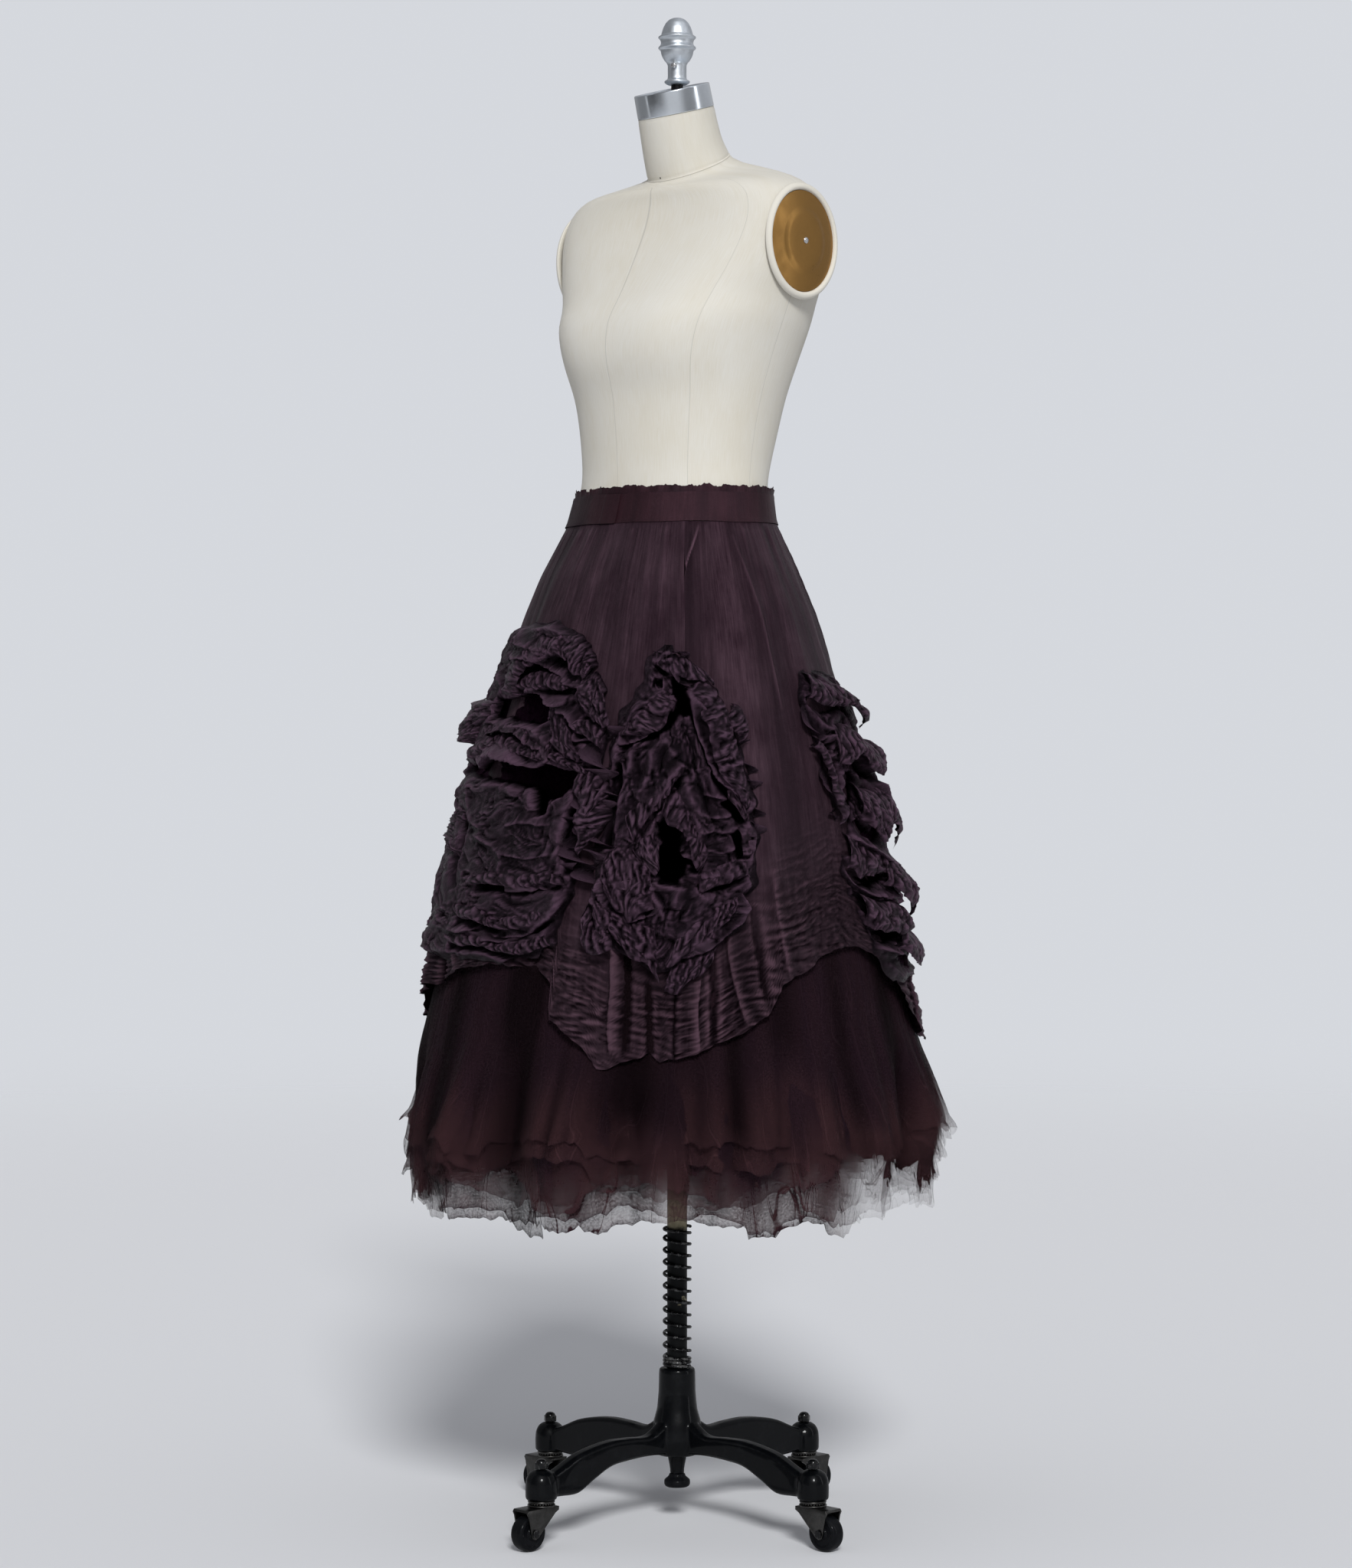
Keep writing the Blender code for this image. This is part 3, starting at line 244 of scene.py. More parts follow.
# Outlines of the clusters: height, left edge, right edge, in degrees
FRONT_OUTLINE = (
    (1.034, -112, -100), (1.028, -121, -93), (1.016, -130, -85), (0.989, -137, -78), (0.964, -142, -74),
    (0.917, -148, -68), (0.892, -149, -67), (0.871, -150, -69), (0.82, -150, -72), (0.762, -150, -71),
    (0.737, -150, -71), (0.704, -149, -73), (0.68, -147, -74), (0.662, -138, -80), (0.654, -126, -88),
)
FRONT_LEFT_OUTLINE = (
    (1.004, -52, -50), (0.989, -57, -46), (0.971, -59, -42), (0.957, -60, -35), (0.912, -66, -30),
    (0.879, -67, -27), (0.835, -66, -25), (0.796, -65, -24), (0.754, -66, -25), (0.716, -67, -28),
    (0.689, -64, -32), (0.672, -59, -38), (0.655, -52, -44), (0.648, -50, -47),
)
LEFT_OUTLINE = (
    (0.978, 2, 12), (0.972, -2, 24), (0.951, -3, 34), (0.915, -1, 41), (0.887, 1, 45), (0.845, 3, 47),
    (0.808, 4, 48), (0.769, 3, 49), (0.729, 4, 49), (0.693, 7, 48), (0.655, 12, 46), (0.63, 16, 42),
)
# Clusters: side, pattern, turn in degrees, mirrored, crumple seed, bed, gores it is sewn on
CLUSTERS = (
    ("front", "front", 0, False, 11, 0.012, ("front", "right")),
    ("front_left", "front_left", 0, False, 23, 0.012, ("front", "left")),
    ("left", "left", 0, False, 35, 0.006, ("left", "back")),
    ("back_left", "front_left", 31, True, 47, 0.011, ("back",)),
    ("back_right", "front_left", 172, False, 59, 0.011, ("back", "right")),
    ("right", "left", 202, True, 61, 0.011, ("right",)),
)
PATTERNS = {
    "front": (FRONT_OUTLINE, FRONT_FOLDS),
    "front_left": (FRONT_LEFT_OUTLINE, FRONT_LEFT_FOLDS),
    "left": (LEFT_OUTLINE, LEFT_FOLDS),
}
# Deep hollows, in millimetres: pattern, depth, half width, points as (angle, height)
PITS = (
    ("front", 34, 11.5, ((-120, 934), (-112, 938), (-104, 937), (-96, 932), (-88, 926))),
    ("front", 20, 8, ((-112, 976), (-104, 982), (-97, 984), (-90, 976), (-84, 968))),
    ("front", 24, 12, ((-130, 876), (-118, 872), (-106, 872), (-96, 866), (-86, 858), (-77, 852))),
    ("front", 14, 6, ((-88, 855), (-86, 838), (-84, 815))),
    ("front", 14, 5.5, ((-71, 850), (-72.5, 815), (-73, 780), (-72.5, 750))),
    ("front_left", 14, 6, ((-47, 965), (-46, 945), (-44, 925))),
    ("front_left", 14, 5, ((-62, 880), (-63, 850), (-63.5, 810), (-63, 780))),
    ("left", 14, 6, ((2, 900), (4, 860), (5, 820), (6, 770))),
)
# Loose folds, in millimetres: pattern, lift of the root and of the lip, belly, root line,
# lip line
FLAPS = (
    ("front", 12, 30, 6, ((-115, 957), (-115.5, 983), (-108.5, 1009), (-97.5, 1021), (-87.2, 1021),
     (-79, 1003), (-74.8, 981)), ((-104, 947), (-101.8, 969), (-98, 986), (-91.2, 991), (-84, 985),
     (-80, 974), (-77.8, 960))),
    ("front", 10, 24, 4, ((-116.2, 953), (-108.2, 973), (-98.8, 978), (-88.5, 974), (-80.2, 968)),
     ((-110, 947), (-101.2, 956), (-93.2, 957), (-85.5, 955), (-79.5, 957))),
    ("front", 12, 32, -4, ((-117.2, 917), (-105.2, 919), (-94.8, 918), (-86.8, 909)), ((-113.8, 903),
     (-103.8, 908), (-95.5, 903), (-87.5, 885), (-83, 895))),
    ("front", 14, 24, 6, ((-79.5, 966), (-76.8, 974), (-73.5, 972), (-70.2, 956)), ((-74.8, 927),
     (-71.8, 916), (-68.8, 911), (-66.8, 923))),
    ("front", 14, 28, 5, ((-88.2, 937), (-85, 940), (-81.5, 927), (-79.2, 911)), ((-83.2, 899), (-80, 882),
     (-76.5, 877), (-73, 876))),
    ("front", 12, 24, 4, ((-80, 923), (-75.8, 923), (-72, 917), (-68.5, 911)), ((-77.5, 905), (-73.5, 903),
     (-69.8, 894), (-67.2, 884))),
    ("front", 12, 28, 4, ((-136.2, 884), (-119.2, 903), (-104.8, 907), (-92, 895), (-83.2, 887),
     (-73.2, 874)), ((-121, 871), (-110.8, 886), (-99.8, 888), (-89.5, 877), (-80.8, 874), (-71, 860))),
    ("front", 8, 38, 4, ((-118.8, 943), (-119, 930), (-126.5, 912), (-125.2, 895)), ((-137, 948),
     (-136.5, 921), (-136.5, 904), (-128.8, 895))),
    ("front", 6, 18, 5, ((-116.8, 820), (-118, 804), (-115.8, 784), (-110.5, 765)), ((-124.5, 827),
     (-135.2, 808), (-134.8, 794), (-119.8, 778))),
    ("front", 12, 22, 3, ((-107, 748), (-97.2, 753), (-88, 752), (-80.5, 755), (-74.8, 751)),
     ((-102.5, 736), (-93.5, 739), (-85.2, 736), (-78.5, 742), (-72.5, 741))),
    ("front", 12, 22, 3, ((-111.2, 718), (-100.2, 716), (-91.5, 705), (-83.8, 710), (-77, 723)),
     ((-107, 703), (-96.8, 700), (-88.5, 689), (-80.8, 694), (-74.2, 708))),
    ("front", 10, 18, 3, ((-114.2, 685), (-101, 686), (-91, 678), (-84.5, 680), (-76.8, 690)),
     ((-108.5, 669), (-97.8, 674), (-89, 666), (-81.8, 665), (-74.8, 676))),
    ("front", 12, 24, 4, ((-73.2, 872), (-70, 869), (-66.2, 857), (-63.8, 838)), ((-75, 845), (-71.5, 823),
     (-69.5, 807), (-68.2, 823))),
    ("front", 12, 26, 3, ((-67.8, 838), (-63.2, 823), (-64.5, 804), (-67.8, 788)), ((-71.2, 830),
     (-73.2, 807), (-72, 788), (-70, 769))),
    ("front_left", 10, 26, 6, ((-54.8, 963), (-57.5, 946), (-61.5, 927), (-62, 911)), ((-48, 942),
     (-48.8, 923), (-55.2, 905), (-63.2, 903))),
    ("front_left", 12, 26, 3, ((-54.2, 998), (-49.5, 992), (-43.8, 988), (-38, 971)), ((-54.8, 981),
     (-48.2, 970), (-41.8, 965), (-36, 959))),
    ("front_left", 12, 28, 6, ((-38, 969), (-32.8, 942), (-29.8, 907), (-28.2, 869), (-27.2, 831)),
     ((-46, 957), (-41.2, 923), (-37.8, 888), (-33.8, 857), (-29.2, 822))),
    ("front_left", 12, 22, 4, ((-30.5, 940), (-27.2, 934), (-25.8, 919), (-26.8, 903)), ((-33.2, 923),
     (-31.8, 911), (-30.2, 903), (-29.5, 895))),
    ("front_left", 10, 26, 5, ((-59.5, 823), (-54.2, 846), (-49, 869), (-44.8, 876)), ((-57, 789),
     (-51.8, 817), (-47.8, 846), (-44.5, 869))),
    ("front_left", 12, 30, 5, ((-48, 857), (-43, 838), (-40, 808), (-38, 774)), ((-50.5, 819), (-46.2, 800),
     (-42.2, 778), (-40.5, 755))),
    ("front_left", 16, 26, 7, ((-63.5, 769), (-62, 785), (-57.8, 789), (-53, 774)), ((-62, 732), (-59, 713),
     (-55, 708), (-50.2, 725))),
    ("front_left", 18, 28, 2, ((-57.5, 785), (-55, 796), (-51.5, 800)), ((-50.8, 753), (-50, 763),
     (-50, 785))),
    ("front_left", 12, 26, 6, ((-30.2, 736), (-32.8, 732), (-38, 728), (-43, 709)), ((-32, 713), (-36, 693),
     (-40.8, 672), (-48.2, 654))),
    ("front_left", 8, 18, 6, ((-34.8, 692), (-37.2, 679), (-42, 668), (-46, 657)), ((-37.5, 657),
     (-41.2, 642), (-44.2, 629), (-47.5, 630))),
    ("front_left", 12, 22, 4, ((-65.2, 731), (-60.5, 720), (-55.2, 705), (-50.2, 702)), ((-63, 692),
     (-58.5, 683), (-53.5, 663), (-48.8, 642))),
    ("front_left", 12, 20, 4, ((-64.8, 716), (-63, 720), (-60.2, 713)), ((-62.8, 694), (-60.5, 685),
     (-58.8, 698))),
    ("front_left", 14, 22, 3, ((-40.8, 755), (-37.2, 762), (-32.8, 770), (-28.8, 770)), ((-40, 736),
     (-36.2, 742), (-32.5, 747), (-28.8, 751))),
    ("front_left", 12, 20, 2, ((-33.5, 857), (-30.5, 846), (-27.8, 831)), ((-33.2, 835), (-30.5, 819),
     (-28.2, 808))),
    ("front_left", 8, 22, 2, ((-27.5, 808), (-26.2, 792), (-26.8, 773)), ((-30.5, 804), (-29.8, 785),
     (-29.5, 770))),
    ("front_left", 8, 20, 6, ((-66.5, 722), (-64.5, 704), (-61, 696)), ((-67, 692), (-64, 668),
     (-58.5, 671))),
    ("left", 10, 28, 6, ((0, 976), (7, 966), (16, 962), (27, 940)), ((-3, 946), (7, 936), (17, 938),
     (30, 906))),
    ("left", 14, 34, 3, ((6, 921), (14, 918), (24, 903), (34, 902)), ((4, 868), (13, 884), (23, 858),
     (37, 874))),
    ("left", 8, 20, 5, ((-1, 905), (2, 880), (5, 850), (8, 822)), ((-4, 892), (-1, 866), (0, 842),
     (3, 806))),
    ("left", 12, 30, 8, ((9, 858), (17, 846), (27, 852), (39, 836)), ((11, 812), (18, 790), (28, 806),
     (41, 779))),
    ("left", 10, 22, 4, ((5, 797), (11, 790), (19, 781)), ((3, 762), (10, 745), (20, 752))),
    ("left", 12, 34, 5, ((18, 776), (27, 772), (35, 760), (44, 758)), ((16, 736), (26, 716), (37, 724),
     (46, 700))),
    ("left", 12, 26, 6, ((5, 736), (13, 724), (22, 722)), ((6, 700), (13, 682), (24, 690))),
    ("left", 10, 24, 5, ((20, 700), (30, 688), (40, 690)), ((19, 668), (31, 646), (43, 658))),
)
# Curly ruffles: side, waves, width, points as (angle, height)
RUFFLES = (
    ("front", 6, 0.034, ((-67, 0.905), (-69, 0.87), (-70, 0.83), (-71, 0.79), (-72, 0.755))),
    ("front_left", 5, 0.03, ((-66, 0.87), (-67, 0.835), (-67, 0.79), (-66, 0.75))),
    ("front_left", 5, 0.016, ((-29, 0.895), (-26, 0.86), (-25, 0.82), (-26, 0.78))),
    ("front_left", 3, 0.014, ((-56, 0.99), (-52, 0.999), (-47, 0.993), (-44, 0.978))),
    ("front", 3, 0.018, ((-150, 0.86), (-149, 0.8), (-149, 0.74), (-148, 0.69))),
    ("left", 4, 0.018, ((-2, 0.955), (-1, 0.905), (2, 0.86), (3, 0.81))),
    ("left", 4, 0.02, ((47, 0.88), (48, 0.82), (49, 0.75), (48, 0.69))),
    ("back_left", 5, 0.02, ((58, 0.93), (54, 0.86), (53, 0.79), (56, 0.72))),
    ("back_right", 5, 0.02, ((140, 0.93), (146, 0.86), (147, 0.79), (144, 0.72))),
    ("right", 5, 0.02, ((153, 0.9), (152, 0.83), (153, 0.76), (157, 0.7))),
)

# ---- tulle ----
# Layers, outermost first: tier, hem height, step inside the overskirt, pleat seed, flare
TULLE_LAYERS = (
    ("upper", 0.457, 0.75, 5, 1), ("upper", 0.44, 1.25, 8, 0.9), ("middle", 0.417, 1.8, 13, 0.85),
    ("middle", 0.401, 2.3, 21, 0.8), ("lower", 0.386, 2.8, 34, 0.75), ("lower", 0.374, 3.4, 55, 0.7),
)
LAYER_STEPS = ((0.34, 0.0065), (0.8, 0.0055), (1, 0.0035), (SKIRT_TOP, 0.0018))
# The CAD tulle's own deep pleats: number round the hem, phase in degrees, depth
TULLE_PLEATS = ((11, 20, 0.005), (7, 75, 0.0035), (4, 10, 0.003))
PLEATS_START = 0.57
PLEATS_FULL = 0.46
# The last rows of the tulle's grid reach from this height up to the band
GATHERED_ROWS = 6
GATHERED_FROM = 0.66
# Where cut corners of the tulle hang lower: angle, half width in degrees, drop
HEM_CORNERS = (
    (-78, 5.5, 0.014), (-60, 3, 0.006), (-26, 4.5, 0.013), (-8, 4, 0.01), (28, 6, 0.012), (56, 4, 0.01),
    (75, 5, 0.015), (118, 6, 0.012), (160, 5, 0.014), (205, 6, 0.012), (228, 3.5, 0.009), (248, 5, 0.013),
)
# Big soft cones of the tulle: angle, half width in degrees, rise
TULLE_CONES = (
    (-118, 7, 0.016), (-94, 7.5, 0.018), (-67, 6, 0.04), (-48, 5, 0.021), (-31, 5.5, 0.019),
    (-14, 6, 0.019), (5, 6, 0.018), (27, 7, 0.018), (52, 7.5, 0.022), (80, 7, 0.018), (106, 8, 0.022),
    (134, 7, 0.018), (160, 7.5, 0.02), (188, 7.5, 0.022), (214, 7, 0.018),
)

# Deep valleys between the cones, sunk and painted with shade: angle, half width in degrees, depth, lowest
# height
TULLE_VALLEYS = (
    (-124, 4, 0.6, 0.44), (-106, 2.5, 0.5, 0.42), (-85.5, 3, 0.8, 0.54), (-77.5, 1.8, 0.7, 0.42),
    (-54, 4.6, 0.9, 0.45), (-31.5, 1.6, 0.9, 0.42), (-19.5, 3.2, 0.8, 0.52), (-3, 2, 0.5, 0.44),
    (16, 3, 0.6, 0.44), (40, 3.5, 0.7, 0.43), (66, 3, 0.7, 0.44), (92, 4, 0.8, 0.42), (121, 3, 0.7, 0.44),
    (147, 3.5, 0.8, 0.43), (174, 3, 0.7, 0.44), (201, 4, 0.8, 0.42),
)
# Where the tulle is a single sheer thickness: middle angle, half width, highest height, share
TULLE_SHEER = ((45, 58, 0.482, 0.76), (-137, 38, 0.41, 0.5))

# ---- the form ----
# height, half width, front, back, middle (y of the widest point), tilt in degrees, squareness
TORSO_SECTIONS = (
    (1.5574, 0.0493, -0.0306, 0.068, 0.0187, 25, 2), (1.551, 0.06, -0.038, 0.074, 0.0195, 21, 2),
    (1.545, 0.098, -0.042, 0.08, 0.022, 15, 2.1), (1.537, 0.135, -0.041, 0.086, 0.025, 8, 2.3),
    (1.526, 0.159, -0.043, 0.091, 0.028, 3, 2.6), (1.508, 0.176, -0.044, 0.098, 0.028, 0, 2.9),
    (1.48, 0.184, -0.052, 0.109, 0.028, 0, 2.9), (1.44, 0.178, -0.07, 0.123, 0.026, 0, 2.6),
    (1.4, 0.164, -0.088, 0.131, 0.018, 0, 2.3), (1.37, 0.156, -0.102, 0.131, 0.012, 0, 2.2),
    (1.33, 0.143, -0.106, 0.124, 0.007, 0, 2.1), (1.29, 0.132, -0.101, 0.115, 0.003, 0, 2),
    (1.25, 0.124, -0.098, 0.105, 0, 0, 2), (1.21, 0.12, -0.0955, 0.092, -0.003, 0, 2),
    (1.187, 0.1215, -0.096, 0.085, -0.006, 0, 2), (1.177, 0.125, -0.101, 0.089, -0.006, 0, 2),
    (1.144, 0.1256, -0.1045, 0.0855, -0.0095, 0, 2), (1.1, 0.137, -0.108, 0.099, -0.0045, 0, 2),
    (1.04, 0.151, -0.115, 0.114, -0.002, 0, 2), (0.97, 0.162, -0.119, 0.127, 0.002, 0, 2),
    (0.9, 0.164, -0.118, 0.127, 0.003, 0, 2), (0.8623, 0.16, -0.115, 0.122, 0.003, 0, 2),
)
BUST_HEIGHT = 1.355
BUST_SPREAD = 0.042
BUST_ANGLES = (-118, -62)
BUST_WIDTH = 20.0
BUST_RISE = 0.012
SIDE_PLANE = 0.17
# Neck rings: y, height, radius, tilt in degrees
NECK_RINGS = (
    (0.0186, 1.5577, 0.0493, 25), (0.0098, 1.577, 0.0466, 21), (0.0036, 1.597, 0.0452, 17.5),
    (-0.0018, 1.6176, 0.0443, 15.5),
)
NECK_TACK = ((0, 0.0011), (0.001, 0.0008), (0.0014, 0), (0.0014, -0.001), (0, -0.001))
NECK_TACK_PLACE = (0, -0.0266, 1.5412)
NECK_TACK_LEAN = -25.0
CAP_BASE = (-0.0019, 1.6179)
CAP_LEAN = 15.5
CAP_PROFILE = (
    (0, 0.0256), (0.0395, 0.0256), (0.0407, 0.0268), (0.043, 0.027), (0.0438, 0.026), (0.0443, 0.0006),
    (0.0438, 0), (0, 0),
)
FINIAL_PROFILE = (
    (0, 1.7265), (0.005, 1.7261), (0.0092, 1.7243), (0.0131, 1.7205), (0.016, 1.715), (0.0178, 1.7092),
    (0.0184, 1.7064), (0.0214, 1.705), (0.0217, 1.7036), (0.0196, 1.7016), (0.0186, 1.6992),
    (0.0186, 1.6966), (0.0196, 1.6946), (0.0217, 1.6926), (0.0214, 1.691), (0.0189, 1.6892),
    (0.0184, 1.6858), (0.0172, 1.6822), (0.0146, 1.6778), (0.0117, 1.6744), (0.0108, 1.672),
    (0.0107, 1.659), (0.0112, 1.656), (0.0146, 1.654), (0.0146, 1.6524), (0.0112, 1.65), (0.0045, 1.6499),
    (0.0045, 1.637), (0, 1.637),
)
FINIAL_STEM = ((0, 1.6499), (0.0068, 1.6499), (0.007, 1.644), (0.0052, 1.642), (0.0052, 1.637), (0, 1.637))
THUMBSCREW_HEAD = (
    (0, 0.0052), (0.0022, 0.005), (0.0032, 0.0038), (0.0034, 0.0012), (0.0026, 0), (0.0026, -0.002),
    (0, -0.002),
)
THUMBSCREW_ANGLE = -62.0
THUMBSCREW_HEIGHT = 1.6702
THUMBSCREW_REACH = 0.0106
ARM_PLATE_CENTRE = (0.028, 1.4586)
ARM_PLATE_HALF_HEIGHT = 0.057
ARM_PLATE_HALF_WIDTH = 0.05
ARM_PLATE_DOME = 0.006
# The plate's face: reach as a share of its half height, rise as a share of its dome
ARM_PLATE_PROFILE = (
    (0, 1), (0.3, 0.99), (0.5, 0.95), (0.58, 0.88), (0.64, 0.68), (0.7, 0.58), (0.84, 0.46),
    (0.95, 0.24),
)
# The rolled rim: distance out from the plate's edge, rise
ARM_PLATE_RIM = (
    (0.0002, 0.0004), (0.001, 0.003), (0.0036, 0.0042), (0.0066, 0.0032), (0.0084, 0.0006),
    (0.0086, -0.002), (0.0002, -0.002),
)
ARM_SCREW_PROFILE = ((0, 0.0022), (0.0022, 0.002), (0.0034, 0.0012), (0.0038, 0), (0, 0))

# ---- the stand ----
TUBE_RADIUS = 0.0115
TUBE_BORE = 0.0099
TUBE_TOP = 0.66
TUBE_BOTTOM = 0.0903
HUB_TOP = 0.1775
HUB_PROFILE = (
    (0.0118, 0.096), (0.0118, HUB_TOP - 0.0008), (0.0126, HUB_TOP), (0.0192, HUB_TOP),
    (0.0208, HUB_TOP - 0.002), (0.0213, 0.15), (0.0232, 0.13), (0.0275, 0.115), (0.029, 0.095),
    (0.024, 0.077), (0, 0.077),
)
LEG_SECTIONS = (
    (0.008, 0.125, 0.079), (0.026, 0.117, 0.08), (0.049, 0.105, 0.082), (0.08, 0.1062, 0.0812),
    (0.11, 0.1065, 0.078), (0.138, 0.103, 0.0665), (0.162, 0.0975, 0.055), (0.186, 0.0875, 0.055),
    (0.205, 0.08, 0.056),
)
LEG_HALF_WIDTH = 0.009
LEG_CHAMFER = 0.0034
LEG_STEPS = 49
PIVOT_REACH = 0.2136
BOSS_PROFILE = (
    (0, 0.0884), (0.0085, 0.0876), (0.014, 0.0838), (0.0172, 0.077), (0.0179, 0.068), (0.0177, 0.056),
    (0.0165, 0.0543), (0, 0.0543),
)
FOOT_STEM_PROFILE = (
    (0, 0.0767), (0.0112, 0.0767), (0.009, 0.066), (0.0081, 0.06), (0.008, 0.056), (0, 0.056),
)
FOOT_PAD_PROFILE = (
    (0, 0.0557), (0.0085, 0.0557), (0.01, 0.052), (0.0148, 0.048), (0.015, 0.043), (0.013, 0.0402),
    (0, 0.0397),
)
SPRING_WIRE = 0.0019
SPRING_RADIUS = 0.015
SPRING_TOP = 0.3398
SPRING_START_ANGLE = 45.0
SPRING_TURNS = ((0.75, 0.006), (0.75, 0.012), (10, 0.01365), (2.5, 0.0042))
SPRING_STEPS = 24
NUT_BOTTOM = 0.0887
NUT_TOP = 0.0998
NUT_RADIUS = 0.0078
NUT_DOME = (
    (0, NUT_TOP), (0.003, NUT_TOP - 0.0004), (0.0052, NUT_TOP - 0.0018), (0.0064, NUT_TOP - 0.0045),
    (0, NUT_TOP - 0.0046),
)
UPPER_CUP = ((0, 0.054), (0.0148, 0.054), (0.0152, 0.0532), (0.015, 0.0517), (0.012, 0.0513), (0, 0.0513))
LOWER_CUP = ((0, 0.05), (0.012, 0.05), (0.0154, 0.0494), (0.0156, 0.0482), (0.0152, 0.0474), (0, 0.0474))
BALL_RING = 0.0134
BALL_HEIGHT = 0.0507
BALL_RADIUS = 0.0012
BALL_COUNT = 26
WHEEL_RADIUS = 0.02
WHEEL_HALF_SECTION = (
    (0.0033, 0.0092), (0.0066, 0.0092), (0.0073, 0.0078), (0.0082, 0.0072), (0.014, 0.0076),
    (0.015, 0.0086), (0.0182, 0.0084), (0.0194, 0.0066), (WHEEL_RADIUS, 0.0036),
)
TRAIL = 0.02
AXLE_HEIGHT = 0.0201
AXLE_RADIUS = 0.003
AXLE_HEAD_RADIUS = 0.0046
FORK_HALF_WIDTH = 0.0125

# ---- the stage ----
# The camera: its azimuth, its lens in millimetres, and its target's reach towards it and height
CAMERA_AZIMUTH = -45.0
CAMERA_LENS = 88.9
CAMERA_TARGET = (-0.0013, 0.8485)
# The key: azimuth from the camera's, elevation, angular size
KEY_AZIMUTH = 6.0
KEY_ELEVATION = 33.0
KEY_SIZE = 13.0
# The soft boxes that shine in glossy finishes, round the horizon: angle, level
SOFT_BOXES = (
    (-180.0, 0.6), (-141.0, 0.55), (-137.0, 0.45), (-135.0, 1.8), (-132.0, 1.8), (-130.0, 0.35),
    (-105.0, 0.28), (-82.0, 0.6), (-62.0, 1.6), (-32.0, 1.6), (-10.0, 0.7), (24.0, 0.65), (26.0, 6.5),
    (31.0, 6.5), (33.0, 0.95), (75.0, 1.0), (110.0, 1.1), (145.0, 0.7),
)
# The room's light round the horizon: angle, level
ROOM_LIGHT = (
    (-180.0, 0.4), (-150.0, 0.75), (-120.0, 1.0), (-90.0, 0.9), (-60.0, 0.95), (-20.0, 0.9), (172.0, 0.35),
)

# ---- settings shown in the sidebar ----


def colour_setting(name, description, default):
    return FloatVectorProperty(
        name=name, description=description, subtype="COLOR", size=3, min=0.0, max=1.0,
        default=default,
    )


def length_setting(name, description, default):
    return FloatProperty(
        name=name, description=description, subtype="DISTANCE", unit="LENGTH", default=default
    )


class SkirtSettings(PropertyGroup):
    """Colours and cloth sizes of the skirt."""

    ribbon: colour_setting("Ribbon", "Waistband ribbon", (0.02, 0.0068, 0.0095))
    silk: colour_setting("Silk", "Overskirt cloth", (0.0145, 0.0052, 0.0092))
    # The pale silk: the paler tone of its slubs and, scaled up, the painted highlight on its ridges
    silk_light: colour_setting("Pale silk and highlight", "Where the silk is paler", (0.054, 0.029, 0.04))
    ruched: colour_setting("Ruched cloth", "Ruched clusters", (0.0044, 0.0027, 0.0043))
    # The ruched cloth's paler tone and, scaled up, the painted highlight on its ridges
    ruched_light: colour_setting("Ruched ridges", "Where it is paler", (0.0175, 0.0096, 0.0152))
    tulle: colour_setting("Tulle", "Tulle net", (0.0098, 0.0047, 0.0078))
    # Painted light: the net turns this paler, redder colour where it is sheer, for light coming through it
    tulle_light: colour_setting("Sheer tulle", "Where the net is sheer", (0.039, 0.0175, 0.02))
    crumple: length_setting("Crumple", "Depth of the crumpled cloth", 0.0085)
    pleat: length_setting("Pleats", "Depth of the tulle's pleats", 0.024)
    frill: length_setting("Frill", "How ragged the tulle's hems are", 0.006)


class FormSettings(PropertyGroup):
    """Colours of the dress form."""

    linen: colour_setting("Linen", "Cover of the form", (0.71, 0.69, 0.63))
    brass: colour_setting("Brass", "Arm plates", (0.365, 0.2, 0.06))
    aluminium: colour_setting("Aluminium", "Neck cap and finial", (0.64, 0.68, 0.72))


class StandSettings(PropertyGroup):
    """Colours of the stand."""

    iron: colour_setting("Iron", "Painted casting", (0.0016, 0.0019, 0.0025))
    column: colour_setting("Column", "Aged brass column", (0.23, 0.205, 0.14))
    rubber: colour_setting("Wheels", "Caster wheels", (0.003, 0.0033, 0.0042))


class StageSettings(PropertyGroup):
    """The floor, the lights and the camera."""

    floor: colour_setting("Floor", "Pale studio floor", (0.83, 0.84, 0.865))
    backdrop: colour_setting("Backdrop", "Background seen by the camera", (0.668, 0.688, 0.728))
    key: FloatProperty(name="Key", description="Strength of the large soft key", default=2.5)
    ambient: FloatProperty(name="Ambient", description="Strength of the room's light", default=0.46)
    camera_distance: length_setting("Camera distance", "From the column", 4.448)
    camera_height: length_setting("Camera height", "Above the floor", 0.9)


def settings(name):
    """A PropertyGroup of the scene."""
    return getattr(bpy.context.scene, f"dress_form_{name}")


# ---- numbers ----
def smooth_step(value):
    value = np.clip(value, 0.0, 1.0)
    return value * value * (3.0 - 2.0 * value)


def angle_apart(first, second):
    return (first - second + 180.0) % 360.0 - 180.0


def bell(offset, half_width):
    return np.exp(-0.5 * (offset / half_width) ** 2)


def through(rows, at):
    """Smooth values between the rows of a table, at a row number that need not be whole."""
    rows = np.asarray(rows, float)
    at = np.clip(at, 0.0, len(rows) - 1.0)
    cell = np.minimum(at.astype(int), len(rows) - 2)
    share = (at - cell)[:, None]
    before, start = rows[np.maximum(cell - 1, 0)], rows[cell]
    end, after = rows[cell + 1], rows[np.minimum(cell + 2, len(rows) - 1)]
    slope_in = (end - before) / 2.0
    slope_out = (after - start) / 2.0
    cubed, squared = share**3, share**2
    return (
        (2.0 * cubed - 3.0 * squared + 1.0) * start
        + (cubed - 2.0 * squared + share) * slope_in
        + (3.0 * squared - 2.0 * cubed) * end
        + (cubed - squared) * slope_out
    )


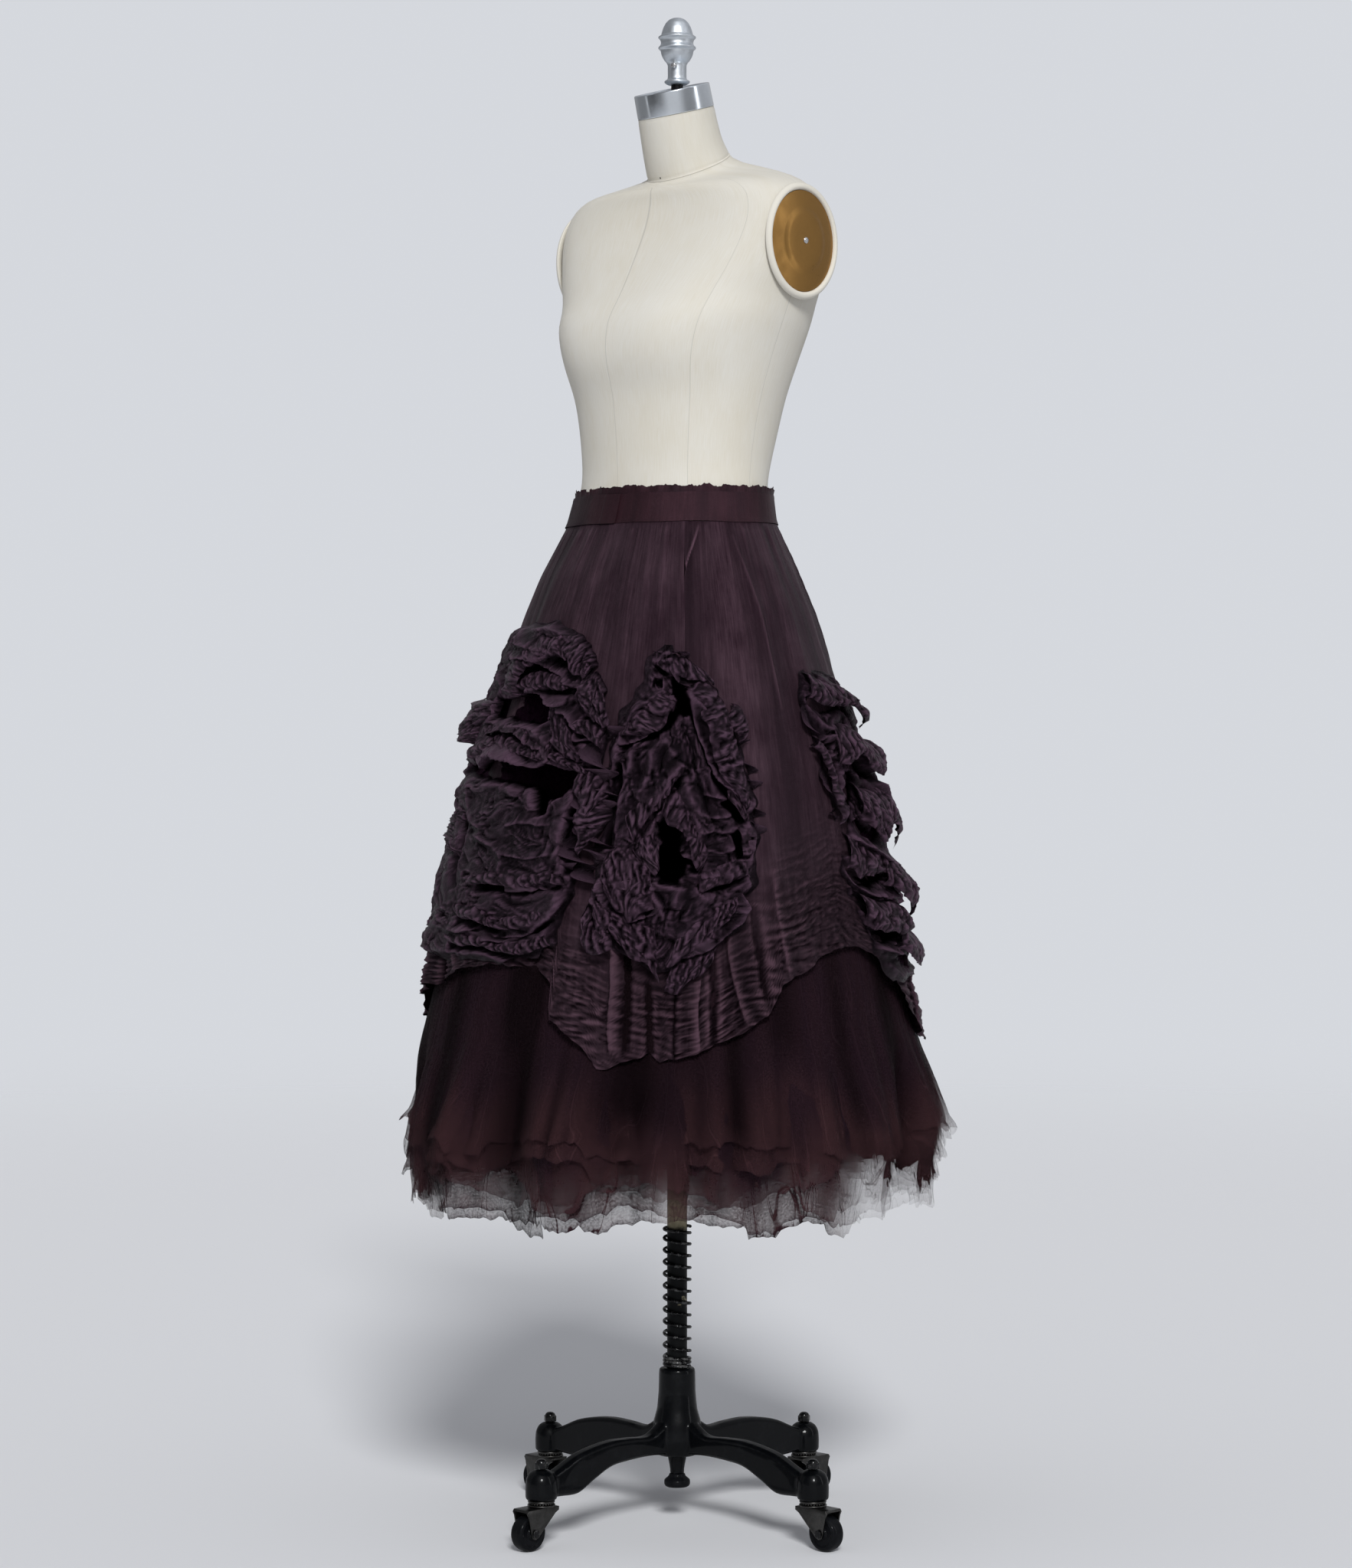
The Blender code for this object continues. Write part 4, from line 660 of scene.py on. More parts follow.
def soft_table(table, spread):
    """A table by falling height, as functions of height with its kinks smoothed over."""
    rows = np.asarray(table, float)[::-1]
    heights = np.arange(rows[0, 0] - 0.1, rows[-1, 0] + 0.1, 0.002)
    window = np.hanning(2 * round(spread / 0.002) + 1)
    window /= window.sum()
    columns = []
    for number in range(1, rows.shape[1]):
        slope_low = (rows[1, number] - rows[0, number]) / (rows[1, 0] - rows[0, 0])
        slope_high = (rows[-1, number] - rows[-2, number]) / (rows[-1, 0] - rows[-2, 0])
        values = np.interp(heights, rows[:, 0], rows[:, number])
        values += np.minimum(0.0, heights - rows[0, 0]) * slope_low
        values += np.maximum(0.0, heights - rows[-1, 0]) * slope_high
        columns.append(np.convolve(np.pad(values, len(window) // 2, "edge"), window, "valid"))
    return heights, columns


def noise(points, size, seed):
    """Smooth noise of about -1 to 1 at each point, with lumps of that size in metres."""
    scaled = points / np.asarray(size)
    cell = np.floor(scaled).astype(np.int64)
    local = scaled - cell
    fade = local**3 * (local * (local * 6.0 - 15.0) + 10.0)
    total = np.zeros(len(points))
    for corner in product((0, 1), repeat=3):
        x, y, z = (cell + corner).T
        mixed = (x * 73856093) ^ (y * 19349663) ^ (z * 83492791) ^ (seed * 668265263)
        mixed = ((mixed ^ (mixed >> 13)) * 1274126177) & 0x7FFFFFFF
        mixed = ((mixed ^ (mixed >> 15)) * 1103515245) & 0x7FFFFFFF
        turn = ((mixed >> 8) & 1023) * (2.0 * math.pi / 1024.0)
        lift = ((mixed >> 18) & 1023) / 511.5 - 1.0
        flat = np.sqrt(1.0 - lift * lift)
        away = local - corner
        slope = flat * (away[:, 0] * np.cos(turn) + away[:, 1] * np.sin(turn)) + lift * away[:, 2]
        total += np.prod(np.where(corner, fade, 1.0 - fade), axis=1) * slope
    return 1.6 * total


def creases(points, size, seed):
    """Sharp-edged crumples of about -1 to 1."""
    return np.abs(noise(points, size, seed)) ** 0.8 - np.abs(noise(points, size, seed + 1)) ** 0.8


def puffs(points, size, seed):
    """Round puffs of about -0.5 to 0.5 with sharp valleys between them."""
    return np.minimum(np.abs(noise(points, size, seed)) ** 0.6, 1.0) - 0.5


SKIRT_HEIGHTS, SKIRT_COLUMNS = soft_table(SKIRT_PROFILE, 0.018)


def stacked(*columns):
    """Columns of numbers side by side; a single number fills its whole column."""
    return np.column_stack(np.broadcast_arrays(*columns))


def round_skirt(angle):
    """An angle in degrees as a length round the cloth, in metres."""
    return np.radians(angle) * ARC


def ring_points(angle, radius, height=0.0):
    turn = np.radians(angle)
    return stacked(radius * np.cos(turn), radius * np.sin(turn), height)


def skirt_points(angle, height, outward):
    """Points over the overskirt's unfolded outer face."""
    radius, oval, middle_x, middle_y = (
        np.interp(height, SKIRT_HEIGHTS, column) for column in SKIRT_COLUMNS
    )
    radius, turn = radius + outward, np.radians(angle)
    x = middle_x + radius * (1.0 + oval) * np.cos(turn)
    y = middle_y + radius * (1.0 - oval) * np.sin(turn)
    return stacked(x, y, height)


def fold_field(angle, height, folds):
    """At each point, the rise of the listed folds, their shift across and up, in metres, and
    the way the nearest of them run, as the cosine and sine of twice its slope."""
    place = stacked(round_skirt(angle), height)
    rise = np.zeros(len(place))
    shift = np.zeros((len(place), 2))
    grain = np.zeros((len(place), 2)) + (0.02, 0.0)
    for lift, half_width, lean, points in folds:
        line = np.array(points, float)
        line[:, 0] = round_skirt(line[:, 0])
        line = through(line, np.linspace(0.0, len(line) - 1.0, 4 * (len(line) - 1) + 1))
        reach = max(6.0 * half_width, 0.06)
        near = np.flatnonzero(
            ((place > line.min(0) - reach) & (place < line.max(0) + reach)).all(1)
        )
        if not len(near):
            continue
        start, run = line[:-1], np.diff(line, axis=0)
        length = np.hypot(*run.T)
        from_start = place[near, None, :] - start[None]
        share = np.clip((from_start * run).sum(2) / length**2, 0.0, 1.0)
        away = from_start - share[..., None] * run
        distance = np.hypot(away[..., 0], away[..., 1])
        best = distance.argmin(1)
        pick = np.arange(len(near))
        distance, share = distance[pick, best], share[pick, best]
        way = run[best] / length[best, None]
        right = stacked(way[:, 1], -way[:, 0])
        side = (away[pick, best] * right).sum(1) * np.sign(lean)
        along = np.concatenate(((0.0,), np.cumsum(length)))[best] + share * length[best]
        along /= length.sum()
        taper = np.sqrt(np.clip(np.minimum(along, 1.0 - along) / 0.16, 0.0, 1.0))
        width = half_width * (1.0 - 0.35 * smooth_step(side / half_width + 0.5) * (lean != 0.0))
        shape = taper * np.exp(-((distance / width) ** (1.3 if lift > 0.0 else 2.2)))
        rise[near] += lift * shape
        shift[near] += (lean * shape)[:, None] * right
        double = stacked(way[:, 0] ** 2 - way[:, 1] ** 2, 2.0 * way[:, 0] * way[:, 1])
        grain[near] += np.exp(-((distance / 0.022) ** 2))[:, None] * double
    return rise, shift, grain / np.hypot(*grain.T)[:, None]


def along_grain(place, grain, size, seed, kind=creases):
    """Crumples drawn out along the grain: their size is (along, across)."""
    total, weight = np.zeros(len(place)), np.zeros(len(place))
    for number, slope in enumerate((0.0, 45.0, 90.0, 135.0)):
        turn = math.radians(slope)
        align = grain @ (math.cos(2.0 * turn), math.sin(2.0 * turn))
        share = np.maximum(0.0, 0.5 + 0.5 * align) ** 4
        turned = stacked(
            place[:, 0] * math.cos(turn) + place[:, 2] * math.sin(turn),
            place[:, 1],
            place[:, 2] * math.cos(turn) - place[:, 0] * math.sin(turn),
        )
        total += share * kind(turned, (size[0], 1.0, size[1]), seed + 17 * number)
        weight += share
    return total / np.sqrt(weight**2 + 0.05)


def bells(angle, rows):
    """The sum of the (middle angle, half width, rise) rows at each angle."""
    return sum(rise * bell(angle_apart(angle, middle), width) for middle, width, rise in rows)


def overskirt_relief(angle, height):
    """How far the overskirt's broad folds stand out, growing from the band to the hem."""
    grown = np.maximum(0.0, (SKIRT_TOP - height) / (SKIRT_TOP - HEM_POINT))
    return bells(angle, OVERSKIRT_FOLDS) * grown


def tulle_pleat(angle, height):
    """The deep pleats of the CAD tulle."""
    grown = smooth_step((PLEATS_START - height) / (PLEATS_START - PLEATS_FULL))
    return grown * sum(
        depth * np.cos(np.radians(count * angle + phase)) for count, phase, depth in TULLE_PLEATS
    )


# ---- materials ----
def scaled(colour, share):
    return tuple(share * value for value in colour)


class Nodes:
    """A node tree and short ways to add what the finishes are made of. Each gives the new
    node's output, and takes numbers or other nodes' outputs."""

    def __init__(self, tree):
        self.tree = tree

    def give(self, socket, value):
        if isinstance(value, bpy.types.NodeSocket):
            self.tree.links.new(value, socket)
        else:
            socket.default_value = value

    def add(self, kind, inputs=None, output=0, **attributes):
        node = self.tree.nodes.new(f"ShaderNode{kind}")
        for key, value in attributes.items():
            setattr(node, key, value)
        for key, value in (inputs or {}).items():
            self.give(node.inputs[key], value)
        return node.outputs[output]

    def math(self, operation, *values, clamp=False):
        return self.add("Math", dict(enumerate(values)), operation=operation, use_clamp=clamp)

    def spread(self, value, low, high, to_low=0.0, to_high=1.0, kind="LINEAR"):
        """A value that runs between two as another runs from low to high."""
        return self.add(
            "MapRange",
            {"Value": value, "From Min": low, "From Max": high, "To Min": to_low, "To Max": to_high},
            interpolation_type=kind,
        )

    def noise(self, vector, scale, detail, roughness=0.5, distortion=0.0):
        return self.add(
            "TexNoise",
            {"Vector": vector, "Scale": scale, "Detail": detail, "Roughness": roughness,
             "Distortion": distortion},
            "Fac",
        )

    def stretched(self, vector, x, y, z=1.0):
        return self.add("Mapping", {"Vector": vector, "Scale": (x, y, z)})

    def axis(self, vector, letter):
        return self.add("SeparateXYZ", {"Vector": vector}, letter)

    def mixed(self, share, low, high):
        """A colour mix; either colour may be another node's output."""
        colours = (
            value if isinstance(value, bpy.types.NodeSocket) else (*value, 1.0)
            for value in (low, high)
        )
        return self.add("Mix", dict(zip((0, 6, 7), (share, *colours))), 2, data_type="RGBA")

    def ramp(self, value, low, high, colour_low, colour_high):
        """A colour that runs between two as the value runs from low to high."""
        return self.mixed(self.spread(value, low, high), colour_low, colour_high)

    def lengths(self):
        """The cloth's own lengths, in metres."""
        return self.add("UVMap", output="UV", uv_map="cloth")

    def attribute(self, name):
        return self.add("Attribute", output="Fac", attribute_name=name)

    def coordinates(self, kind):
        return self.add("TexCoord", output=kind)

    def group(self, tree, **values):
        """A placed group's outputs; its named inputs have underscores for spaces."""
        node = self.tree.nodes.new("ShaderNodeGroup")
        node.node_tree = tree
        for key, value in values.items():
            self.give(node.inputs[key.replace("_", " ")], value)
        return node.outputs

    def bump(self, shader, height, strength, distance):
        inputs = {"Height": height, "Strength": strength, "Distance": distance}
        self.give(shader["Normal"], self.add("Bump", inputs, "Normal"))


def blank_material(name, roughness, **fixed):
    """A material, its nodes, and its shader's inputs with those that stay the same all over."""
    material = bpy.data.materials.new(name)
    material.use_nodes = True
    shader = material.node_tree.nodes["Principled BSDF"].inputs
    shader["Roughness"].default_value = roughness
    for key, value in fixed.items():
        shader[key.replace("_", " ")].default_value = value
    return material, Nodes(material.node_tree), shader


def new_group(name, values, results):
    """A node group that takes a vector and the named values and gives the named results."""
    group = bpy.data.node_groups.new(name, "ShaderNodeTree")
    group.interface.new_socket("Vector", in_out="INPUT", socket_type="NodeSocketVector")
    for key, default in values.items():
        socket = group.interface.new_socket(key, in_out="INPUT", socket_type="NodeSocketFloat")
        socket.default_value = default
    for key in results:
        group.interface.new_socket(key, in_out="OUTPUT", socket_type="NodeSocketFloat")
    given, result = (group.nodes.new(f"NodeGroup{way}") for way in ("Input", "Output"))
    return Nodes(group), given.outputs, result.inputs


def thread_group():
    """Fine crossing threads, long slubs and soft stains, on a cloth's own lengths."""
    found = bpy.data.node_groups.get("Dyed threads")
    if found:
        return found
    nodes, given, result = new_group(
        "Dyed threads", {"Threads": 900.0, "Slub Length": 26.0, "Stain Size": 14.0},
        ("Shade", "Height"),
    )
    wave = {"Vector": given["Vector"], "Scale": given["Threads"], "Distortion": 1.2,
            "Detail": 1.0, "Detail Scale": 0.6}
    threads = nodes.math("MAXIMUM", *(
        nodes.add("TexWave", wave, "Fac", bands_direction=direction) for direction in "XY"
    ))
    drawn = nodes.stretched(given["Vector"], 16.0, 1.0)
    slub = nodes.noise(drawn, given["Slub Length"], 4.0, 0.6)
    stain = nodes.noise(given["Vector"], given["Stain Size"], 5.0, 0.62)
    nodes.give(result["Shade"], nodes.spread(nodes.math("ADD", slub, stain), 0.72, 1.3))
    nodes.give(result["Height"], nodes.math("MULTIPLY_ADD", slub, 0.6, threads))
    return nodes.tree


def wear_group():
    """Chips along proud edges, fine scuffs and grain, from the piece's own shape."""
    found = bpy.data.node_groups.get("Handling wear")
    if found:
        return found
    nodes, given, result = new_group("Handling wear", {"Grain": 300.0}, ("Edge", "Scuff", "Grain"))
    vector = given["Vector"]
    proud = nodes.spread(nodes.add("NewGeometry", output="Pointiness"), 0.53, 0.6)
    broken = nodes.spread(nodes.noise(vector, 130.0, 6.0, 0.7), 0.5, 0.58)
    nodes.give(result["Edge"], nodes.math("MULTIPLY", proud, broken))
    nodes.give(result["Scuff"], nodes.noise(vector, 34.0, 8.0, 0.75))
    nodes.give(result["Grain"], nodes.noise(vector, given["Grain"], 3.0, 0.6))
    return nodes.tree


def silk_material(name, dark, light, roughness, gloss, sheen, crinkle, depth, ridges=2.4):
    """Dyed silk: threads and slubs on its own lengths, painted shade that turns it black in its hollows,
    and a painted highlight that makes it pale on its ridges.
    """
    material, nodes, shader = blank_material(
        name, roughness, Specular_IOR_Level=gloss, Specular_Tint=(0.8, 0.58, 0.74, 1.0),
        Sheen_Weight=sheen, Sheen_Roughness=0.45, Sheen_Tint=(0.5, 0.4, 0.47, 1.0),
    )
    lengths, mark = nodes.lengths(), nodes.attribute("mark")
    threads = nodes.group(thread_group(), Vector=lengths)
    bands = nodes.noise(nodes.stretched(lengths, 24.0, 1.7), 1.0, 4.0, 0.62)
    colour = nodes.ramp(threads["Shade"], 0.1, 0.9, dark, light)
    colour = nodes.mixed(nodes.spread(bands, 0.6, 0.38), colour, scaled(dark, 0.62))
    # Painted highlight: paler on ridges, by the shape mask
    colour = nodes.mixed(nodes.attribute("shape"), colour, scaled(light, ridges))
    # Painted shade: near black by the mark, and metallic there so that its gloss goes too
    nodes.give(shader["Base Color"], nodes.mixed(mark, colour, scaled(dark, 0.03)))
    nodes.give(shader["Metallic"], nodes.spread(mark, 0.5, 0.95))
    crumpled = nodes.noise(lengths, crinkle, 5.0, 0.62, 0.8)
    height = nodes.math("MULTIPLY_ADD", threads["Height"], 0.1, crumpled)
    nodes.bump(shader, height, 0.8, depth)
    rough = nodes.spread(threads["Shade"], 0.0, 1.0, roughness + 0.08, roughness - 0.08)
    nodes.give(shader["Roughness"], rough)
    return material


def tulle_material(name, colour, light):
    """Sheer net. The mark is how much a layer covers, and where it covers less the net is painted paler and
    redder, for light coming through it; the shape is painted shade in its dark valleys.
    """
    material, nodes, shader = blank_material(
        name, 0.85, Specular_IOR_Level=0.1, Specular_Tint=(0.8, 0.5, 0.55, 1.0)
    )
    lengths, mark = nodes.lengths(), nodes.attribute("mark")
    creased = nodes.noise(nodes.stretched(lengths, 66.0, 8.0), 1.0, 4.0, 0.7)
    streak = nodes.spread(creased, 0.35, 0.75, 0.84, 1.15)
    holes = nodes.spread(nodes.noise(lengths, 420.0, 2.0), 0.3, 0.7, 0.8, 1.18)
    cover = nodes.math("MULTIPLY", nodes.math("MULTIPLY", mark, streak), holes, clamp=True)
    for across, along, share in ((30.0, 6.0, 0.42), (70.0, 24.0, 0.2)):
        drawn = nodes.noise(nodes.stretched(lengths, across, along), 1.0, 1.5, 0.5, 0.6)
        away = nodes.math("ABSOLUTE", nodes.math("SUBTRACT", drawn, 0.5))
        line = nodes.spread(away, 0.0, 0.01, share, 0.0)
        cover = nodes.math("ADD", cover, line, clamp=True)
    nodes.give(shader["Alpha"], cover)
    # Painted light: paler and redder where the net covers less, for light coming through it
    shown = nodes.ramp(mark, 0.55, 0.94, light, colour)
    # Painted shade in its valleys and gaps, by the shape mask
    shown = nodes.mixed(nodes.attribute("shape"), shown, scaled(colour, 0.15))
    nodes.give(shader["Base Color"], shown)
    nodes.bump(shader, creased, 0.3, 0.0008)
    return material


def linen_material(name, colour, seams):
    """Cream linen, with seams every eighth of the way round where it covers the form."""
    material, nodes, shader = blank_material(
        name, 0.88, Specular_IOR_Level=0.25, Sheen_Weight=0.12, Sheen_Roughness=0.5
    )
    lengths = nodes.lengths()
    threads = nodes.group(
        thread_group(), Vector=lengths, Threads=640.0, Slub_Length=40.0, Stain_Size=7.0
    )
    warm = tuple(value * share for value, share in zip(colour, (0.93, 0.905, 0.85)))
    shown = nodes.ramp(threads["Shade"], 0.1, 0.9, warm, colour)
    height = threads["Height"]
    if seams:
        spacing = math.radians(45.0) * ARC
        nearest = nodes.math("PINGPONG", nodes.axis(lengths, "X"), spacing / 2.0)
        line = nodes.spread(nearest, 0.0, 0.0011, 1.0, 0.0, "SMOOTHSTEP")
        shown = nodes.mixed(nodes.math("MULTIPLY", line, 0.55), shown, scaled(colour, 0.6))
        height = nodes.math("MULTIPLY_ADD", line, -3.0, height)
    nodes.give(shader["Base Color"], shown)
    nodes.bump(shader, height, 0.35, 0.0003)
    return material


def metal_material(name, colour, roughness, grain, wear, brushed=None, black_below=None):
    """Bare metal with cast or brushed grain, darker in its scuffs, painted below a height."""
    material, nodes, shader = blank_material(
        name, roughness, Metallic=1.0, Specular_IOR_Level=0.1
    )
    place = nodes.coordinates("Object")
    scuff = nodes.group(wear_group(), Vector=place, Grain=grain)["Scuff"]
    shown = nodes.ramp(scuff, 0.32, 0.66, scaled(colour, 1.0 - wear), colour)
    if black_below:
        level = nodes.math("MULTIPLY_ADD", scuff, 0.03, nodes.axis(place, "Z"))
        bare = nodes.spread(level, black_below + 0.01, black_below + 0.016)
        bare = nodes.math("MAXIMUM", bare, nodes.spread(scuff, 0.63, 0.67))
        shown = nodes.mixed(bare, (0.004, 0.0045, 0.005), shown)
        nodes.give(shader["Metallic"], bare)
    nodes.give(shader["Base Color"], shown)
    rough = nodes.spread(scuff, 0.3, 0.7, roughness + 0.14, roughness - 0.06)
    nodes.give(shader["Roughness"], rough)
    lines = nodes.stretched(place, *brushed) if brushed else place
    nodes.bump(shader, nodes.noise(lines, grain, 3.0, 0.6), 0.25, 0.00002 if brushed else 0.0003)
    return material


def paint_material(name, colour, roughness, grain, bare, coat):
    """Old paint on iron or rubber: orange peel, dusty scuffs and chipped edges."""
    material, nodes, shader = blank_material(
        name, roughness, Specular_IOR_Level=0.04, Coat_Weight=coat, Coat_Roughness=0.05
    )
    worn = nodes.group(wear_group(), Vector=nodes.coordinates("Object"), Grain=grain)
    dusty = tuple(1.8 * value + 0.003 for value in colour)
    shown = nodes.ramp(worn["Scuff"], 0.52, 0.74, colour, dusty)
    nodes.give(shader["Base Color"], nodes.mixed(worn["Edge"], shown, bare))
    rough = nodes.spread(worn["Scuff"], 0.35, 0.7, roughness, roughness + 0.22)
    nodes.give(shader["Roughness"], rough)
    nodes.bump(shader, worn["Grain"], 0.35, 0.0004)
    return material


def wood_material(name, dark, light):
    material, nodes, shader = blank_material(name, 0.7)
    place = nodes.stretched(nodes.coordinates("Object"), 6.0, 70.0, 20.0)
    grain = nodes.noise(place, 1.5, 6.0, 0.6)
    nodes.give(shader["Base Color"], nodes.ramp(grain, 0.3, 0.7, dark, light))
    nodes.bump(shader, grain, 0.3, 0.0005)
    return material


def material_for(key):
    """Each finish once, in the colours of the settings."""
    made = bpy.data.materials.get(key)
    if made:
        return made
    skirt, form, stand = settings("skirt"), settings("form"), settings("stand")
    makers = {
        "Overskirt silk": (
            silk_material, skirt.silk, skirt.silk_light, 0.44, 0.18, 0.02, 90.0, 0.0016, 2.9),
        "Ruched silk": (
            silk_material, skirt.ruched, skirt.ruched_light, 0.32, 0.28, 0.0, 230.0, 0.007, 6.4),
        "Waistband ribbon": (
            silk_material, skirt.ribbon, scaled(skirt.ribbon, 1.7), 0.48, 0.2, 0.02, 220.0, 0.0008),
        "Tulle net": (tulle_material, skirt.tulle, skirt.tulle_light),
        "Form linen": (linen_material, form.linen, True),
        "Rolled linen": (linen_material, form.linen, False),
        "Form board": (wood_material, (0.2, 0.12, 0.06), (0.4, 0.28, 0.16)),
        "Cap aluminium": (
            metal_material, scaled(form.aluminium, 1.2), 0.14, 260.0, 0.12, (0.05, 0.05, 2.0)),
        "Cast aluminium": (metal_material, form.aluminium, 0.4, 420.0, 0.22),
        "Bright steel": (metal_material, (0.6, 0.6, 0.6), 0.24, 500.0, 0.2),
        "Plate brass": (metal_material, form.brass, 0.3, 120.0, 0.16),
        "Column brass": (
            metal_material, stand.column, 0.46, 200.0, 0.4, (2.0, 2.0, 0.05), SPRING_TOP),
        "Caster steel": (metal_material, (0.075, 0.073, 0.07), 0.3, 300.0, 0.6),
        "Painted iron": (paint_material, stand.iron, 0.3, 240.0, (0.16, 0.165, 0.17), 0.16),
        "Black steel": (
            paint_material, (0.003, 0.003, 0.0035), 0.16, 300.0, (0.16, 0.16, 0.16), 0.32),
        "Wheel rubber": (paint_material, stand.rubber, 0.48, 320.0, (0.09, 0.09, 0.09), 0.1),
    }
    maker, *values = makers[key]
    return maker(key, *values)


# ---- meshes and pieces ----
def finished_mesh(bm, name, sharp=None):
    """The bmesh as a smooth-shaded mesh, with edges over the sharp angle kept crisp."""
    bmesh.ops.recalc_face_normals(bm, faces=bm.faces)
    mesh = bpy.data.meshes.new(name)
    bm.to_mesh(mesh)
    bm.free()
    mesh.shade_smooth()
    if sharp:
        mesh.set_sharp_from_angle(angle=math.radians(sharp))
    return mesh


def give_finish(thing, key):
    """Gives the thing the material for the key, in place of its others."""
    thing.data.materials.clear()
    thing.data.materials.append(material_for(key))


def new_piece(name, mesh, key, body, *replaced):
    """An object that rides on the body and stands for the replaced CAD nodes."""
    thing = bpy.data.objects.new(name, mesh)
    bpy.context.scene.collection.objects.link(thing)
    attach(thing, body)
    give_finish(thing, key)
    if replaced:
        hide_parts(*replaced)
    return thing


def add_sheet(name, mesh, key, length, rests_on, *replaced):
    """A cloth piece that rides on the form; the areas of its faces are read but not used."""
    thing = new_piece(name, mesh, key, "form", *replaced)
    faces = np.empty(len(mesh.polygons), np.float32)
    mesh.polygons.foreach_get("area", faces)


def valleys(relief, columns, spread, depth):
    """How far each point of a grid lies below its surroundings, from 0 to 1."""
    grid = relief.reshape(-1, columns + 1)
    blurred = grid
    window = np.hanning(2 * spread + 3)[1:-1]
    window /= window.sum()
    for _ in range(2):
        padded = np.pad(blurred, ((spread, spread), (0, 0)), "edge")
        blurred = sum(
            share * padded[start : start + len(grid)] for start, share in enumerate(window)
        ).T
        grid = grid.T
    return np.clip((blurred - grid).ravel() / depth, 0.0, 1.0)


def sheet_mesh(name, columns, rows, place, closed=False):
    """A cloth grid. place(s, t) gives its points, its (across, along) in metres, and two
    masks from 0 to 1, kept as the attributes "mark" and "shape", for s across and t up.
    Mostly these are painted shade and a painted highlight; on the tulle the mark is its cover,
    and the shape painted shade."""
    bm = bmesh.new()
    bmesh.ops.create_grid(bm, x_segments=columns, y_segments=rows, size=0.5)
    mesh = bpy.data.meshes.new(name)
    bm.to_mesh(mesh)
    bm.free()
    flat = np.empty(3 * len(mesh.vertices), np.float32)
    mesh.vertices.foreach_get("co", flat)
    s, t = (flat.reshape(-1, 3)[:, :2].astype(float) + 0.5).T
    points, lengths, *masks = place(s, t)
    mesh.vertices.foreach_set("co", points.astype(np.float32).ravel())
    corners = np.empty(len(mesh.loops), np.int32)
    mesh.loops.foreach_get("vertex_index", corners)
    uv = mesh.uv_layers.new(name="cloth").data
    uv.foreach_set("uv", lengths[corners].astype(np.float32).ravel())
    for layer, values in zip(("mark", "shape"), (*masks, 0.0)):
        attribute = mesh.attributes.new(layer, "FLOAT", "POINT")
        attribute.data.foreach_set("value", np.broadcast_to(values, len(s)).astype(np.float32))
    if closed:
        bm = bmesh.new()
        bm.from_mesh(mesh)
        bmesh.ops.remove_doubles(bm, verts=bm.verts, dist=MERGE)
        bm.to_mesh(mesh)
        bm.free()
    mesh.update()
    mesh.shade_smooth()
    return mesh


def cover_mesh(name, columns, rows, place):
    """A closed cloth grid with its two ends filled."""
    mesh = sheet_mesh(name, columns, rows, place, closed=True)
    bm = bmesh.new()
    bm.from_mesh(mesh)
    bmesh.ops.holes_fill(bm, edges=[edge for edge in bm.edges if edge.is_boundary])
    bm.to_mesh(mesh)
    bm.free()
    mesh.shade_smooth()
    mesh.set_sharp_from_angle(angle=math.radians(50.0))
    return mesh


def joined(name, meshes):
    """One mesh from several with the same layers."""
    bm = bmesh.new()
    for mesh in meshes:
        bm.from_mesh(mesh)
    whole = bpy.data.meshes.new(name)
    bm.to_mesh(whole)
    bm.free()
    whole.shade_smooth()
    for mesh in meshes:
        bpy.data.meshes.remove(mesh)
    return whole


def rounded(profile, cut):
    """A turning profile with its inner corners rounded."""
    points = [Vector((radius, height)) for radius, height in profile]
    line = [points[0]]
    for before, here, after in zip(points, points[1:], points[2:]):
        start, end = (
            here + (other - here).normalized() * min(cut, 0.42 * (other - here).length)
            for other in (before, after)
        )
        for share in (0.0, 0.33, 0.67, 1.0):
            bent = start * (1 - share) ** 2 + here * 2 * share * (1 - share) + end * share**2
            line.append(bent)
    line.append(points[-1])
    return line


def spun_mesh(name, profile, segments, matrix=Matrix(), cut=0.0, sharp=None):
    """A mesh turned about Z from (radius, height) pairs, closed if the profile is a ring."""
    line = rounded(profile, cut) if cut else profile
    bm = bmesh.new()
    verts = [bm.verts.new((radius, 0.0, height)) for radius, height in line]
    edges = [bm.edges.new(pair) for pair in zip(verts, verts[1:])]
    if line[0][0] > MERGE:
        edges.append(bm.edges.new((verts[-1], verts[0])))
    bmesh.ops.spin(
        bm, geom=verts + edges, cent=(0.0, 0.0, 0.0), axis=(0.0, 0.0, 1.0),
        angle=2.0 * math.pi, steps=segments, use_merge=True,
    )
    bmesh.ops.remove_doubles(bm, verts=bm.verts, dist=MERGE)
    bmesh.ops.transform(bm, matrix=matrix, verts=bm.verts)
    return finished_mesh(bm, name, sharp)


def spun_piece(name, profile, segments, key, body, *replaced, sharp=40.0, **shape):
    mesh = spun_mesh(name, profile, segments, sharp=sharp, **shape)
    return new_piece(name, mesh, key, body, *replaced)


def soften_edges(bm, offset, segments, least_angle):
    """Bevels the edges that turn by more than the least angle in degrees."""
    sharp = [
        edge
        for edge in bm.edges
        if edge.is_manifold and math.degrees(edge.calc_face_angle(0.0)) > least_angle
    ]
    bmesh.ops.bevel(
        bm, geom=sharp, offset=offset, offset_type="OFFSET", segments=segments,
        profile=0.5, affect="EDGES", clamp_overlap=True, material=-1,
    )
    bmesh.ops.remove_doubles(bm, verts=bm.verts, dist=MERGE)


def turned(degrees, axis):
    return Matrix.Rotation(math.radians(degrees), 4, axis)


def moved(x, y, z):
    return Matrix.Translation((x, y, z))


